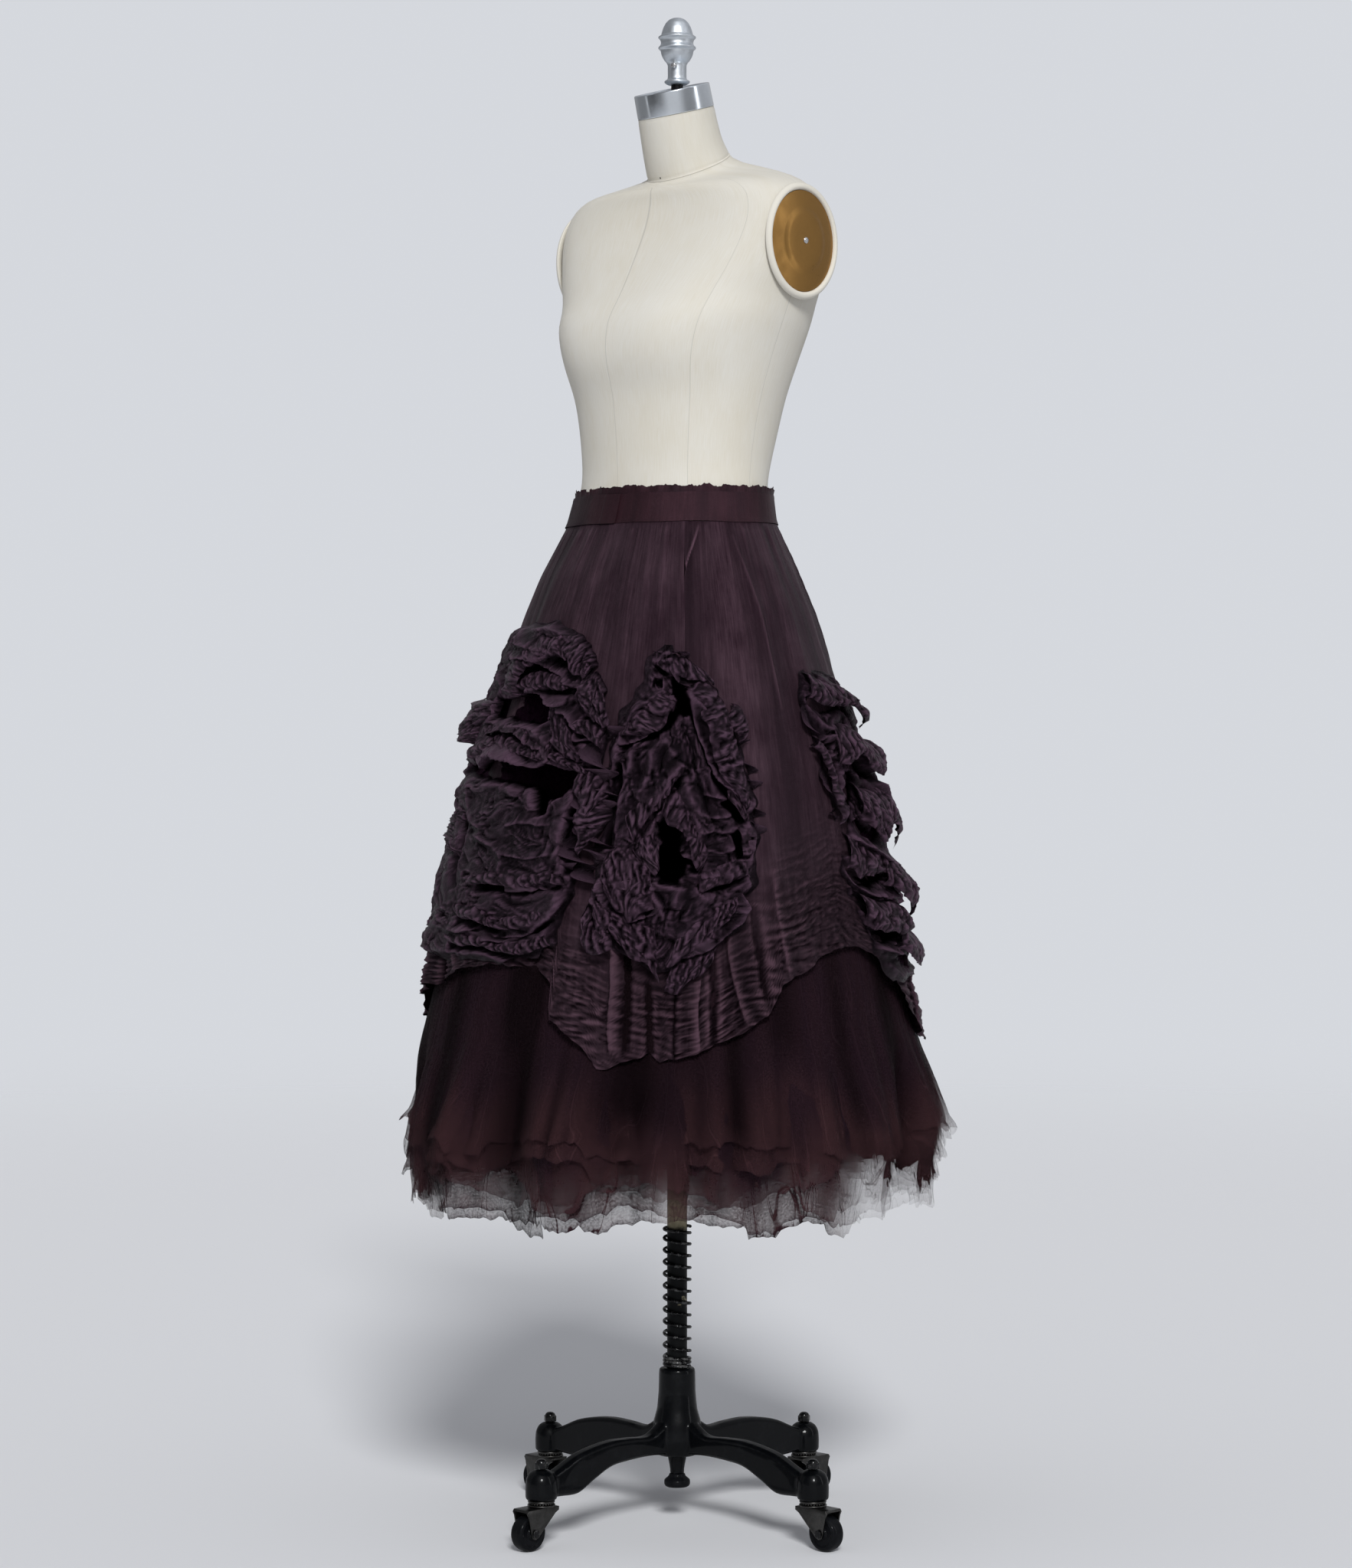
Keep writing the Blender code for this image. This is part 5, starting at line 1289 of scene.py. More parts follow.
# ---- skirt ----
def gore_mesh(name, first, last, columns, rows):
    """One gore: gathers under the band, broad folds, pressed pleats and a crinkled hem."""
    near = round(3 * columns / 170)  # the columns in about 6 mm of cloth
    folds = PRESSED_PLEATS + tuple(
        (lift, width, lean, tuple((seam + offset, height) for offset, height in line))
        for seam in (first, last)
        for lift, width, lean, line in SEAM_FOLDS
    )

    def place(s, t):
        angle = first + s * (last - first)
        ring = ring_points(angle, SKIRT_RING)
        hem = np.interp(angle, *zip(*HEM_LINE), period=360.0)
        hem += 0.0025 * noise(ring, 0.012, 3) + 0.003 * noise(ring, 0.03, 4)
        height = hem + (SKIRT_TOP - hem) * t**1.45
        drop, above_hem = SKIRT_TOP - height, height - hem
        tall = ring_points(angle, SKIRT_RING, height * 0.1)
        waist = np.exp(-drop / 0.1)
        gathers = noise(tall, 0.01, 31) * (0.0002 + 0.0014 * np.exp(-drop / 0.03))
        gathers += noise(tall, 0.024, 32) * (0.003 - 0.0012 * waist) * np.exp(-drop / 0.22)
        gathers += noise(tall, 0.058, 33) * 0.0066 * smooth_step(drop / 0.18)
        outward = overskirt_relief(angle, height) + gathers * smooth_step(drop / 0.012)
        net = -TULLE_LAYERS[0][2] * np.interp(height, *zip(*LAYER_STEPS))
        outward = np.maximum(outward, net + 0.0007)
        crisp, shift, _ = fold_field(angle, height, folds)
        outward += crisp
        flat = stacked(round_skirt(angle), 0.0, height)
        low = smooth_step((0.17 - above_hem) / 0.13)
        from_seam = np.minimum(s, 1.0 - s) * math.radians(last - first) * ARC
        bent = flat + stacked(0.0, 0.0, 0.018 * noise(flat, 0.07, 41) - 0.32 * from_seam)
        uneven = 0.55 + 0.8 * np.abs(noise(flat, 0.06, 48))
        crinkles = puffs(bent, (0.06, 1.0, 0.012), 42) * 0.005
        crinkles += puffs(bent, (0.03, 1.0, 0.0066), 44) * 0.0036 * uneven
        crinkles += creases(bent, (0.013, 1.0, 0.0048), 46) * 0.0022
        crinkles += creases(flat, (0.01, 1.0, 0.045), 50) * 0.0014 * uneven
        outward += low * crinkles + 0.0012 * smooth_step(1.0 - above_hem / 0.006)
        outward += 0.004 * smooth_step(1.0 - above_hem / 0.05) * noise(ring, 0.035, 7)
        slit = smooth_step((0.13 - above_hem) / 0.05)
        outward -= 0.0016 * slit * np.exp(-((from_seam / 0.0022) ** 2))
        angle = angle + np.degrees(shift[:, 0] / ARC)
        # Painted shade: a dark line down the slit near the hem, and in the valleys of the crinkles and
        # folds
        shade = 0.85 * slit * np.exp(-((from_seam / 0.0014) ** 2))
        shade = np.maximum(shade, 0.85 * low * valleys(outward, columns, near, 0.0009))
        shade = np.maximum(shade, 0.45 * valleys(outward, columns, near + 1, 0.003))
        # Painted shade, darker towards the hem, with random tone over it
        hem_shade_and_tone = 0.58 * smooth_step((0.19 - above_hem) / 0.13) + 0.16 * noise(tall, 0.07, 49)
        # Painted highlight on the ridges of the crinkles and folds
        ridge_highlight = low * valleys(-outward, columns, near, 0.0018)
        ridge_highlight = np.maximum(ridge_highlight, 0.7 * valleys(-outward, columns, 2, 0.0016))
        points = skirt_points(angle, height, outward)
        return points, stacked(round_skirt(angle), height), np.maximum(shade, hem_shade_and_tone), ridge_highlight

    return sheet_mesh(name, columns, rows, place)


def in_metres(row):
    """A row's sizes, and the heights of its (angle, height) points, from millimetres."""
    return tuple(
        tuple((angle, height / 1000) for angle, height in item) if isinstance(item, tuple) else item / 1000
        for item in row
    )


def turned_line(line, mirrored):
    return tuple((-angle, height) for angle, height in line) if mirrored else line


def cluster_mesh(name, pattern, turn, mirrored, seed, bed, step):
    """A bed of crumpled cloth, sewn down all round, with its main folds laid along given lines."""
    outline, folds = PATTERNS[pattern]
    folds += tuple((-11, 6.5, 0, lip) for owner, *_, lip in FLAPS if owner == pattern)
    folds += tuple((-depth, width, 0, pit) for owner, depth, width, pit in PITS if owner == pattern)
    folds = tuple(in_metres(row) for row in folds)
    heights, lefts, rights = np.array(outline, float)[::-1].T
    if mirrored:
        lefts, rights = -rights, -lefts
        folds = tuple(
            (lift, width, -lean, turned_line(points, True)) for lift, width, lean, points in folds
        )
    crumple_depth = settings("skirt").crumple
    lowest, highest = heights[0], heights[-1]
    columns = round(math.radians((rights - lefts).max()) * ARC / step)
    wide = round(0.0112 / step)  # the columns in a broad fold

    def place(s, t):
        height = lowest + t * (highest - lowest)
        left, right = (np.interp(height, heights, edge) for edge in (lefts, rights))
        angle = left + s * (right - left)
        flat = stacked(round_skirt(angle), 0.0, height)
        rim = np.minimum(s, 1.0 - s) * round_skirt(right - left)
        rim = np.minimum(rim, np.minimum(height - lowest, highest - height) * 1.2)
        outer = 1.0 - smooth_step(rim / 0.03)
        angle = angle + outer * 2.2 * noise(flat, 0.02, seed + 5) * np.sign(s - 0.5)
        height = height + outer * 0.004 * noise(flat, 0.018, seed + 6)
        laid, shift, grain = fold_field(angle, height, folds)
        raised = smooth_step(rim / 0.013)
        flat = stacked(round_skirt(angle), 0.0, height)
        warp = stacked(noise(flat, 0.035, seed + 7), 0.0, noise(flat, 0.035, seed + 8))
        bent = flat + 0.014 * warp
        uneven = 0.65 + 0.75 * np.abs(noise(flat, 0.045, seed + 16))
        crumple = 1.1 * along_grain(bent, grain, (0.06, 0.026), seed, puffs)
        crumple += 0.5 * uneven * along_grain(bent, grain, (0.052, 0.015), seed + 2)
        crumple += 0.2 * uneven * creases(bent, 0.0105, seed + 14)
        patchy = 0.35 + 1.1 * smooth_step(0.5 + 1.2 * noise(flat, 0.03, seed + 18))
        crumple += 0.4 * patchy * along_grain(bent, grain, (0.016, 0.0056), seed + 10)
        swell = bed * (1.0 + 0.35 * noise(flat, 0.06, seed + 9))
        laid = np.where(laid < 0.0, 1.6, 1.25) * laid
        relief = np.maximum(raised * (swell + laid), -0.004)
        relief += crumple_depth * crumple * (0.25 + 0.75 * raised)
        relief = np.maximum(0.0028 + np.where(relief > 0.0, relief, 0.3 * relief), 0.0012)
        outward = overskirt_relief(angle, height) + relief
        angle_out = angle + np.degrees(raised * shift[:, 0] / ARC)
        angle_out += raised * 0.55 * noise(bent, 0.012, seed + 13)
        height_out = height + raised * shift[:, 1]
        height_out += raised * 0.002 * noise(bent, 0.012, seed + 12)
        # Painted shade: near black where the relief sinks low, away from the rim, and in the valleys of the
        # folds and crumples
        hollow = smooth_step((0.01 - relief) / 0.007) * smooth_step((rim - 0.01) / 0.01)
        hollow = np.maximum(hollow, 0.9 * valleys(relief, columns, wide, 0.0042))
        hollow = np.maximum(hollow, 0.85 * valleys(relief, columns, 2, 0.0011))
        # Painted highlight on the ridges
        ridge_highlight = 0.9 * valleys(-relief, columns, 2, 0.0016)
        ridge_highlight = np.maximum(ridge_highlight, 0.42 * valleys(-relief, columns, wide, 0.005))
        points = skirt_points(angle_out + turn, height_out, outward)
        return points, stacked(round_skirt(angle), height), hollow, ridge_highlight

    return sheet_mesh(name, columns, round((highest - lowest) / step), place)


def flap_mesh(step, root_lift, lip_lift, belly, root, lip, turn, mirrored, seed):
    """A loose fold of cloth, gathered along its sewn root, with a free crumpled lip."""
    root, lip = (np.array(turned_line(line, mirrored), float) for line in (root, lip))
    scale = (math.radians(1.0) * ARC, 1.0)
    span = max(np.hypot(*(np.diff(line, axis=0) * scale).T).sum() for line in (root, lip))
    reach = np.hypot(*((lip.mean(0) - root.mean(0)) * scale))
    columns, rows = (max(round(size / (1.2 * step)), 8) for size in (span, reach))

    def place(s, t):
        fall = 1.0 - t
        top = through(root, s * (len(root) - 1.0))
        low = through(lip, s * (len(lip) - 1.0))
        ends = 0.35 + 0.65 * smooth_step(np.minimum(s, 1.0 - s) / 0.14)
        ring = stacked(s * span, 0.37 * seed, 0.0)
        spot = stacked(s * span, 0.37 * seed, fall * reach)
        spot += 0.006 * noise(spot, 0.022, seed)[:, None] * (1.0, 0.0, 1.0)
        ragged = 1.0 + 0.16 * noise(ring, 0.017, seed + 1) + 0.22 * noise(ring, 0.05, seed + 3)
        middle = top + (low - top) * (fall * ragged)[:, None]
        relief = 0.007 * puffs(spot, (0.017, 1.0, 0.038), seed + 2)
        relief += 0.0032 * creases(spot, (0.009, 1.0, 0.022), seed + 4)
        relief += 0.0024 * creases(spot, (0.005, 1.0, 0.008), seed + 6)
        outward = root_lift + (lip_lift - root_lift) * fall**0.8 * ends
        outward += belly * np.sin(math.pi * fall) + relief * ends
        outward += 0.005 * fall**2 * noise(ring, 0.026, seed + 8)
        outward -= 0.0045 * smooth_step((fall - 0.84) / 0.16)
        outward -= 0.8 * root_lift * smooth_step((0.14 - fall) / 0.14)
        angle = middle[:, 0] + np.degrees(0.0022 * noise(spot, 0.012, seed + 9) / ARC)
        height = middle[:, 1] + 0.0022 * noise(spot, 0.012, seed + 10)
        outward = np.maximum(outward, 0.0035) + overskirt_relief(angle, height)
        # Painted shade in the valleys of its creases and along its root, where it tucks under
        dark = 0.8 * valleys(relief, columns, 2, 0.0008)
        dark = np.maximum(dark, 0.75 * smooth_step((0.16 - fall) / 0.16))
        # Painted highlight: a little all over, more on its creases and in a band just inside the lip
        ridge_highlight = np.maximum(valleys(-relief, columns, 2, 0.0008), 0.09)
        ridge_highlight = np.maximum(ridge_highlight, 0.45 * np.exp(-(((fall - 0.93) / 0.05) ** 2)))
        points = skirt_points(angle + turn, height, outward)
        return points, stacked(s * span + 0.3 * seed, fall * reach), dark, ridge_highlight

    return sheet_mesh("flap", columns, rows, place)


def ruffle_mesh(waves, width, line, seed):
    """A curly strip sewn down along one edge."""
    rows = np.array(line, float)

    def place(s, t):
        centre = through(rows, s * (len(rows) - 1.0))
        ring = stacked(s * 0.2, 0.0, seed)
        phase = 2.0 * math.pi * waves * s + 1.6 * noise(ring, 0.03, seed)
        free = t * (0.75 + 0.25 * noise(ring, 0.02, seed + 1))
        sideways = width * free * np.sin(phase) * (0.45 + 0.55 * t)
        outward = 0.003 + width * free * (0.55 + 0.4 * np.cos(phase)) * (1.0 - 0.35 * t)
        flat = stacked(s * 0.15, t * width, 0.0)
        outward += 0.0028 * puffs(flat, 0.009, seed + 4)
        outward += 0.0012 * creases(flat, 0.005, seed + 6)
        angle = centre[:, 0] + np.degrees(sideways / ARC)
        height = centre[:, 1] + width * 0.45 * free * np.sin(0.5 * phase + 1.0)
        outward = np.maximum(outward, 0.003) + overskirt_relief(angle, height)
        # Painted light: shade on the curl's inner turns near its sewn edge, and a highlight on its outer
        # crests towards the free edge
        lit = smooth_step(0.5 + 0.5 * np.cos(phase))
        points = skirt_points(angle, height, outward)
        return points, stacked(s * 0.2, t * width), 0.9 * (1.0 - t) * (1.0 - lit), 0.6 * lit * t

    return sheet_mesh("ruffle", RUFFLE_STEPS * waves, RUFFLE_ROWS, place)


def tulle_mesh(name, number, hem_height, step, seed, flare):
    """One layer of tulle from the band to its ragged hem."""
    pleat_depth, frill = settings("skirt").pleat, settings("skirt").frill
    columns, rows = TULLE_GRID
    tier = number // 2 + 1
    corners = tuple((middle + 11.0 * (3 - tier), width, fall) for middle, width, fall in HEM_CORNERS)

    def place(s, t):
        angle = -45.0 + 360.0 * s
        ring = ring_points(angle, TULLE_RING)
        drop = sum(
            fall * smooth_step((width - np.abs(angle_apart(angle, middle))) / 0.8)
            for middle, width, fall in corners
        )
        ragged = (3.2 if tier > 2 else 6.0) * noise(ring, 0.11, seed)
        ragged += 1.5 * creases(ring, 0.036, seed) + 0.7 * creases(ring, 0.012, seed + 1)
        ragged += 0.35 * noise(ring, 0.0045, seed + 2)
        hem = hem_height + 0.004 - drop + frill * ragged
        row = t * rows
        low_part = np.clip(row / (rows - GATHERED_ROWS), 0.0, 1.0)
        high_part = np.clip((row - (rows - GATHERED_ROWS)) / GATHERED_ROWS, 0.0, 1.0)
        height = hem + (GATHERED_FROM - hem) * low_part**1.08
        height += (SKIRT_TOP - GATHERED_FROM) * high_part
        above_hem = height - hem
        grown = smooth_step((0.61 - height) / 0.15)
        tall = ring_points(angle, TULLE_RING, height * 0.16)
        fine = noise(tall, 0.034, seed + 4)
        pleats = 0.8 - np.exp(-((noise(tall, 0.08, 300 + number // 2) / 0.26) ** 2))
        pleats += 0.45 * noise(tall, 0.12, 310) + 0.14 * fine
        pleats -= 0.18 * np.exp(-((fine / 0.16) ** 2))
        cones = bells(angle, TULLE_CONES)
        below = smooth_step((0.585 - height) / 0.13)
        # gap_shade is painted shade: in the gaps between the cones and, below, down the deep valleys, which
        # are also sunk
        gap_shade = smooth_step(1.55 - cones / 0.0092) * smooth_step((0.72 - height) / 0.12)
        gap_shade *= 0.75 + 0.5 * noise(ring, 0.1, 320)
        deep = sum(
            depth * bell(angle_apart(angle, middle), width) * smooth_step((height - lowest) / 0.07)
            for middle, width, depth, lowest in TULLE_VALLEYS
        )
        gap_shade += 0.9 * deep
        cones = 1.5 * (cones - 0.0125) * below
        outward = tulle_pleat(angle, height) - step * np.interp(height, *zip(*LAYER_STEPS))
        outward += flare * (
            cones + 0.75 * pleat_depth * grown * (pleats - 0.2) - 0.01 * below * deep
        )
        finest = ring_points(angle, TULLE_RING, height * 0.5)
        outward += grown * 0.0012 * creases(finest, 0.01, seed + 6)
        curl = smooth_step(1.0 - above_hem / 0.018)
        outward += curl * 0.006 * noise(ring, 0.016, seed + 7) + curl * 0.004
        sideways = grown * 0.9 * noise(tall, 0.045, seed + 8)
        # The cover; where it is low the net is also painted paler and redder, for light coming through it
        cover = 0.02 * noise(ring, 0.12, seed + 9)
        cover = (0.5 if tier < 3 else 0.57) + 0.4 * smooth_step((above_hem + cover) / 0.085)
        cover += 0.35 * np.clip(1.0 - 3.2 * np.abs(fine), 0.0, 1.0) * (1.0 - cover)
        cover = np.maximum(cover, (0.86 if tier > 2 else 0.72) * np.exp(-above_hem / 0.0022))
        window = bell(angle_apart(angle, -45.0), 2.4) * smooth_step((0.445 - height) / 0.05)
        cover *= 1.0 - 0.46 * window
        # Painted shadow across the front, above 0.43 m
        gap_shade += 0.3 * bell(angle_apart(angle, -46.0), 13.0) * smooth_step((height - 0.43) / 0.07)
        for middle, width, highest, share in TULLE_SHEER:
            sheer = smooth_step((width - np.abs(angle_apart(angle, middle))) / 12.0)
            cover *= 1.0 - share * sheer * smooth_step((highest - height) / 0.05)
        # Painted shade: the gap shade and the valleys of its pleats
        dark = np.maximum(0.78 * valleys(outward, columns, 6, 0.007), np.clip(gap_shade, 0.0, 0.92))
        dark = np.maximum(dark, 0.55 * valleys(outward, columns, 2, 0.0022))
        lengths = stacked(np.radians(angle) * TULLE_RING, height)
        return skirt_points(angle + sideways, height, outward), lengths, cover, dark

    return sheet_mesh(name, columns, rows, place, closed=True)


def near_row(t, row, width):
    return np.exp(-(((t - row) / width) ** 2))


def band_mesh(name):
    """The ribbon band, lapped near the centre front."""

    def place(s, t):
        angle = -91.5 + 368.0 * s
        height = BAND_BOTTOM - 0.0005 + t * (BAND_TOP - BAND_BOTTOM + 0.0005)
        ring = ring_points(angle, BAND_RING, height * 0.6)
        lap = smooth_step((angle - 265.0) / 2.0)
        outward = 0.0007 + 0.0006 * noise(ring, 0.03, 71) + 0.0011 * lap + 0.0006 * s
        outward += 0.0008 * near_row(t, 0.03, 0.04) + 0.0005 * near_row(t, 0.96, 0.04)
        height = height + 0.001 * noise(ring, 0.05, 72)
        # The mark: darker along the lower edge, painted shade on the side from 200 to 262 degrees, away
        # from the key, and some random tone
        mark = 0.25 * near_row(t, 0.04, 0.03)
        mark += 0.52 * smooth_step((262.0 - angle) / 10.0) * smooth_step((angle - 200.0) / 30.0)
        mark = np.clip(mark + 0.12 * noise(ring, 0.022, 73), 0.0, 1.0)
        lengths = stacked(np.radians(angle) * BAND_RING, height)
        return skirt_points(angle, height, outward), lengths, mark

    return sheet_mesh(name, *BAND_GRID, place)


def fray_mesh(name):
    """The raw edge above the band: it waves, curls and is frayed at the top."""

    def place(s, t):
        angle = 360.0 * s
        ring = ring_points(angle, BAND_RING)
        tall = 0.0075 + 0.003 * noise(ring, 0.02, 81) + 0.0016 * noise(ring, 0.006, 82)
        fringe = np.maximum(0.0, noise(ring, 0.003, 83)) * 0.0022 * t
        height = BAND_TOP - 0.003 + t * (tall + 0.003) + fringe
        wave = noise(ring, 0.014, 84)
        outward = 0.0002 + t**1.4 * (0.0012 + 0.0034 * np.maximum(wave, -0.25))
        outward += t**2 * 0.0012 * noise(ring, 0.005, 85)
        lengths = stacked(np.radians(angle) * BAND_RING, height)
        # The mark: painted shade, darker towards its foot against the band
        return skirt_points(angle, height, outward), lengths, 0.35 * (1.0 - t)

    return sheet_mesh(name, *FRAY_GRID, place, closed=True)


class DRESSFORM_OT_waistband(Operator):
    """Ribbon band and its raw frayed edge"""

    bl_idname = "dress_form.waistband"
    bl_label = "Waistband"

    def execute(self, context):
        band, edge = band_mesh("ribbon_band"), fray_mesh("raw_edge")
        add_sheet("ribbon_band", band, "Waistband ribbon", 0.0335, ["form_cover"], "waistband")
        add_sheet("raw_edge", edge, "Waistband ribbon", 0.011, ["ribbon_band"],
                  "waistband_frayed_edge")
        return {"FINISHED"}


class DRESSFORM_OT_overskirt(Operator):
    """Four gores of the overskirt"""

    bl_idname = "dress_form.overskirt"
    bl_label = "Overskirt"

    def execute(self, context):
        for start, side in zip(SEAM_ANGLES, GORE_NAMES):
            grid = COARSE_GRID if side in COARSE_SIDES else FINE_GRID
            mesh = gore_mesh(f"gore_{side}", start, start + 90.0, *grid)
            add_sheet(f"gore_{side}", mesh, "Overskirt silk", GORE_LENGTH, ["ribbon_band"],
                      f"overskirt_gore_{side}")
        return {"FINISHED"}


class DRESSFORM_OT_clusters(Operator):
    """Ruched clusters, with their loose folds and ruffles"""

    bl_idname = "dress_form.clusters"
    bl_label = "Ruched clusters"

    def execute(self, context):
        for side, pattern, turn, mirrored, seed, bed, gores in CLUSTERS:
            name = f"ruching_{side}"
            step = COARSE_STEP if side in COARSE_SIDES else FINE_STEP
            meshes = [cluster_mesh(name, pattern, turn, mirrored, seed, bed, step)]
            for number, (owner, *shape) in enumerate(FLAPS):
                if owner == pattern:
                    meshes.append(flap_mesh(step, *in_metres(shape), turn, mirrored, seed + number))
            for number, (owner, *shape) in enumerate(RUFFLES):
                if owner == side:
                    meshes.append(ruffle_mesh(*shape, 90 + number))
            add_sheet(name, joined(name, meshes), "Ruched silk", CLUSTER_LENGTH,
                      [f"gore_{gore}" for gore in gores], f"ruched_cluster_{side}")
        return {"FINISHED"}


class DRESSFORM_OT_tulle(Operator):
    """Three tiers of tulle, two layers each"""

    bl_idname = "dress_form.tulle"
    bl_label = "Tulle"

    def execute(self, context):
        replaced = {
            "upper": ["tulle_tier_upper"],
            "middle": ["tulle_tier_middle"],
            "lower": [f"tulle_tier_lower_{side}" for side in GORE_NAMES],
        }
        for number, (tier, hem, step, seed, flare) in enumerate(TULLE_LAYERS):
            name = f"tulle_{tier}_{number % 2 + 1}"
            mesh = tulle_mesh(name, number, hem, step, seed, flare)
            add_sheet(name, mesh, "Tulle net", SKIRT_TOP - hem, ["ribbon_band"], *replaced[tier])
        return {"FINISHED"}


# ---- form ----
def tilted(x, out_y, middle, height, tilt):
    """Points of a ring that leans back by the tilt in degrees."""
    lean = np.radians(tilt)
    return stacked(x, middle + out_y * np.cos(lean), height + out_y * np.sin(lean))


def torso_mesh(name):
    """The form's body through its sections, closed at both ends."""
    sections = np.array(TORSO_SECTIONS, float)
    steps = np.concatenate(((0.0,), np.cumsum(np.abs(np.diff(sections[:, 0])) + 0.01)))
    bust = tuple((middle, BUST_WIDTH, 1.0) for middle in BUST_ANGLES)

    def place(s, t):
        row = np.interp((1.0 - t) * steps[-1], steps, np.arange(len(steps)))
        height, half_width, front, back, middle, tilt, square = through(sections, row).T
        angle = -45.0 + 360.0 * s
        across, along = (
            np.sign(part) * np.abs(part) ** (2.0 / square)
            for part in (np.cos(np.radians(angle)), np.sin(np.radians(angle)))
        )
        depth = np.where(along > 0.0, back - middle, middle - front)
        swell = bell(height - BUST_HEIGHT, BUST_SPREAD) * bells(angle, bust)
        x = half_width * across
        over = np.abs(x) - (SIDE_PLANE - 0.004)
        flattened = SIDE_PLANE - 0.004 + 0.004 * np.tanh(np.maximum(over, 0.0) / 0.008)
        x = np.where(over > 0.0, np.sign(x) * flattened, x)
        points = tilted(x, depth * along - BUST_RISE * swell, middle, height, tilt)
        return points, stacked(round_skirt(angle), height), 0.0

    return cover_mesh(name, *TORSO_GRID, place)


def neck_mesh(name):
    """The neck's sleeve, with its seams at the shoulder and under the cap."""
    rings = np.array(NECK_RINGS, float)

    def place(s, t):
        middle, height, radius, tilt = through(rings, t * (len(rings) - 1.0)).T
        angle = -45.0 + 360.0 * s
        turn = np.radians(angle)
        seam = near_row(t, 0.045, 0.018) + 0.6 * near_row(t, 0.955, 0.02)
        radius = radius - 0.0007 * seam + 0.0006 * (t < 0.03)
        points = tilted(radius * np.cos(turn), radius * np.sin(turn), middle, height, tilt)
        return points, stacked(round_skirt(angle) + 0.02, height), 0.0

    return cover_mesh(name, *NECK_GRID, place)


class DRESSFORM_OT_body(Operator):
    """Linen-covered torso, neck and bottom board"""

    bl_idname = "dress_form.body"
    bl_label = "Form body"

    def execute(self, context):
        new_piece("form_cover", torso_mesh("form_cover"), "Form linen", "form", "form_torso")
        new_piece("neck_cover", neck_mesh("neck_cover"), "Rolled linen", "form", "form_neck")
        place = moved(*NECK_TACK_PLACE) @ turned(90.0 + NECK_TACK_LEAN, "X")
        spun_piece("neck_tack", NECK_TACK, 16, "Black steel", "form", matrix=place)
        give_finish(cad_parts["form_bottom_board"], "Form board")
        return {"FINISHED"}


class DRESSFORM_OT_neck_fittings(Operator):
    """Neck cap, finial and thumbscrew"""

    bl_idname = "dress_form.neck_fittings"
    bl_label = "Neck fittings"

    def execute(self, context):
        tilt = moved(0.0, *CAP_BASE) @ turned(CAP_LEAN, "X")
        spun_piece("cap", CAP_PROFILE, 96, "Cap aluminium", "form", "neck_cap",
                   matrix=tilt, cut=0.0004, sharp=35.0)
        spun_piece("finial_cast", FINIAL_PROFILE, 72, "Cast aluminium", "form", "finial",
                   cut=0.0012, sharp=None)
        spun_piece("finial_stem", FINIAL_STEM, 32, "Black steel", "form", cut=0.0004)
        place = turned(THUMBSCREW_ANGLE, "Z") @ moved(THUMBSCREW_REACH, 0.0, THUMBSCREW_HEIGHT)
        spun_piece("thumbscrew", THUMBSCREW_HEAD, 32, "Bright steel", "form", "finial_thumbscrew",
                   matrix=place @ turned(90.0, "Y"), cut=0.0004)
        return {"FINISHED"}


class DRESSFORM_OT_arm_plates(Operator):
    """Brass arm plates in their rolled linen rims"""

    bl_idname = "dress_form.arm_plates"
    bl_label = "Arm plates"

    def execute(self, context):
        half = ARM_PLATE_HALF_HEIGHT
        plate = [(reach * half, rise * ARM_PLATE_DOME) for reach, rise in ARM_PLATE_PROFILE]
        plate += [(0.995 * half, 0.001), (half, 0.0), (0.0, 0.0)]
        rim = [(half + out, rise) for out, rise in ARM_PLATE_RIM]
        for side, name in ((1.0, "left"), (-1.0, "right")):
            place = moved(side * SIDE_PLANE, *ARM_PLATE_CENTRE) @ turned(side * 90.0, "Y")
            oval = place @ Matrix.Diagonal((1.0, ARM_PLATE_HALF_WIDTH / half, 1.0, 1.0))
            spun_piece(f"plate_{name}", plate, 96, "Plate brass", "form", f"arm_plate_{name}",
                       matrix=oval, sharp=50.0)
            spun_piece(f"plate_rim_{name}", rim, 96, "Rolled linen", "form",
                       matrix=oval, cut=0.0012, sharp=None)
            lift = moved(0.0, 0.0, ARM_PLATE_DOME - 0.0002)
            spun_piece(f"plate_screw_{name}", ARM_SCREW_PROFILE, 32, "Bright steel", "form",
                       f"arm_plate_screw_{name}", matrix=place @ lift, cut=0.0004)
        return {"FINISHED"}


# ---- stand ----
class DRESSFORM_OT_column(Operator):
    """Column tube, rod and clamp"""

    bl_idname = "dress_form.column"
    bl_label = "Column"

    def execute(self, context):
        profile = ((TUBE_BORE, TUBE_TOP), (TUBE_RADIUS, TUBE_TOP), (TUBE_RADIUS, TUBE_BOTTOM),
                   (TUBE_BORE, TUBE_BOTTOM))
        spun_piece("tube", profile, 64, "Column brass", "base", "column_tube", cut=0.0005)
        give_finish(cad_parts["height_rod"], "Column brass")
        give_finish(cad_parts["column_clamp"], "Painted iron")
        give_finish(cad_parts["column_clamp_screw"], "Painted iron")
        return {"FINISHED"}


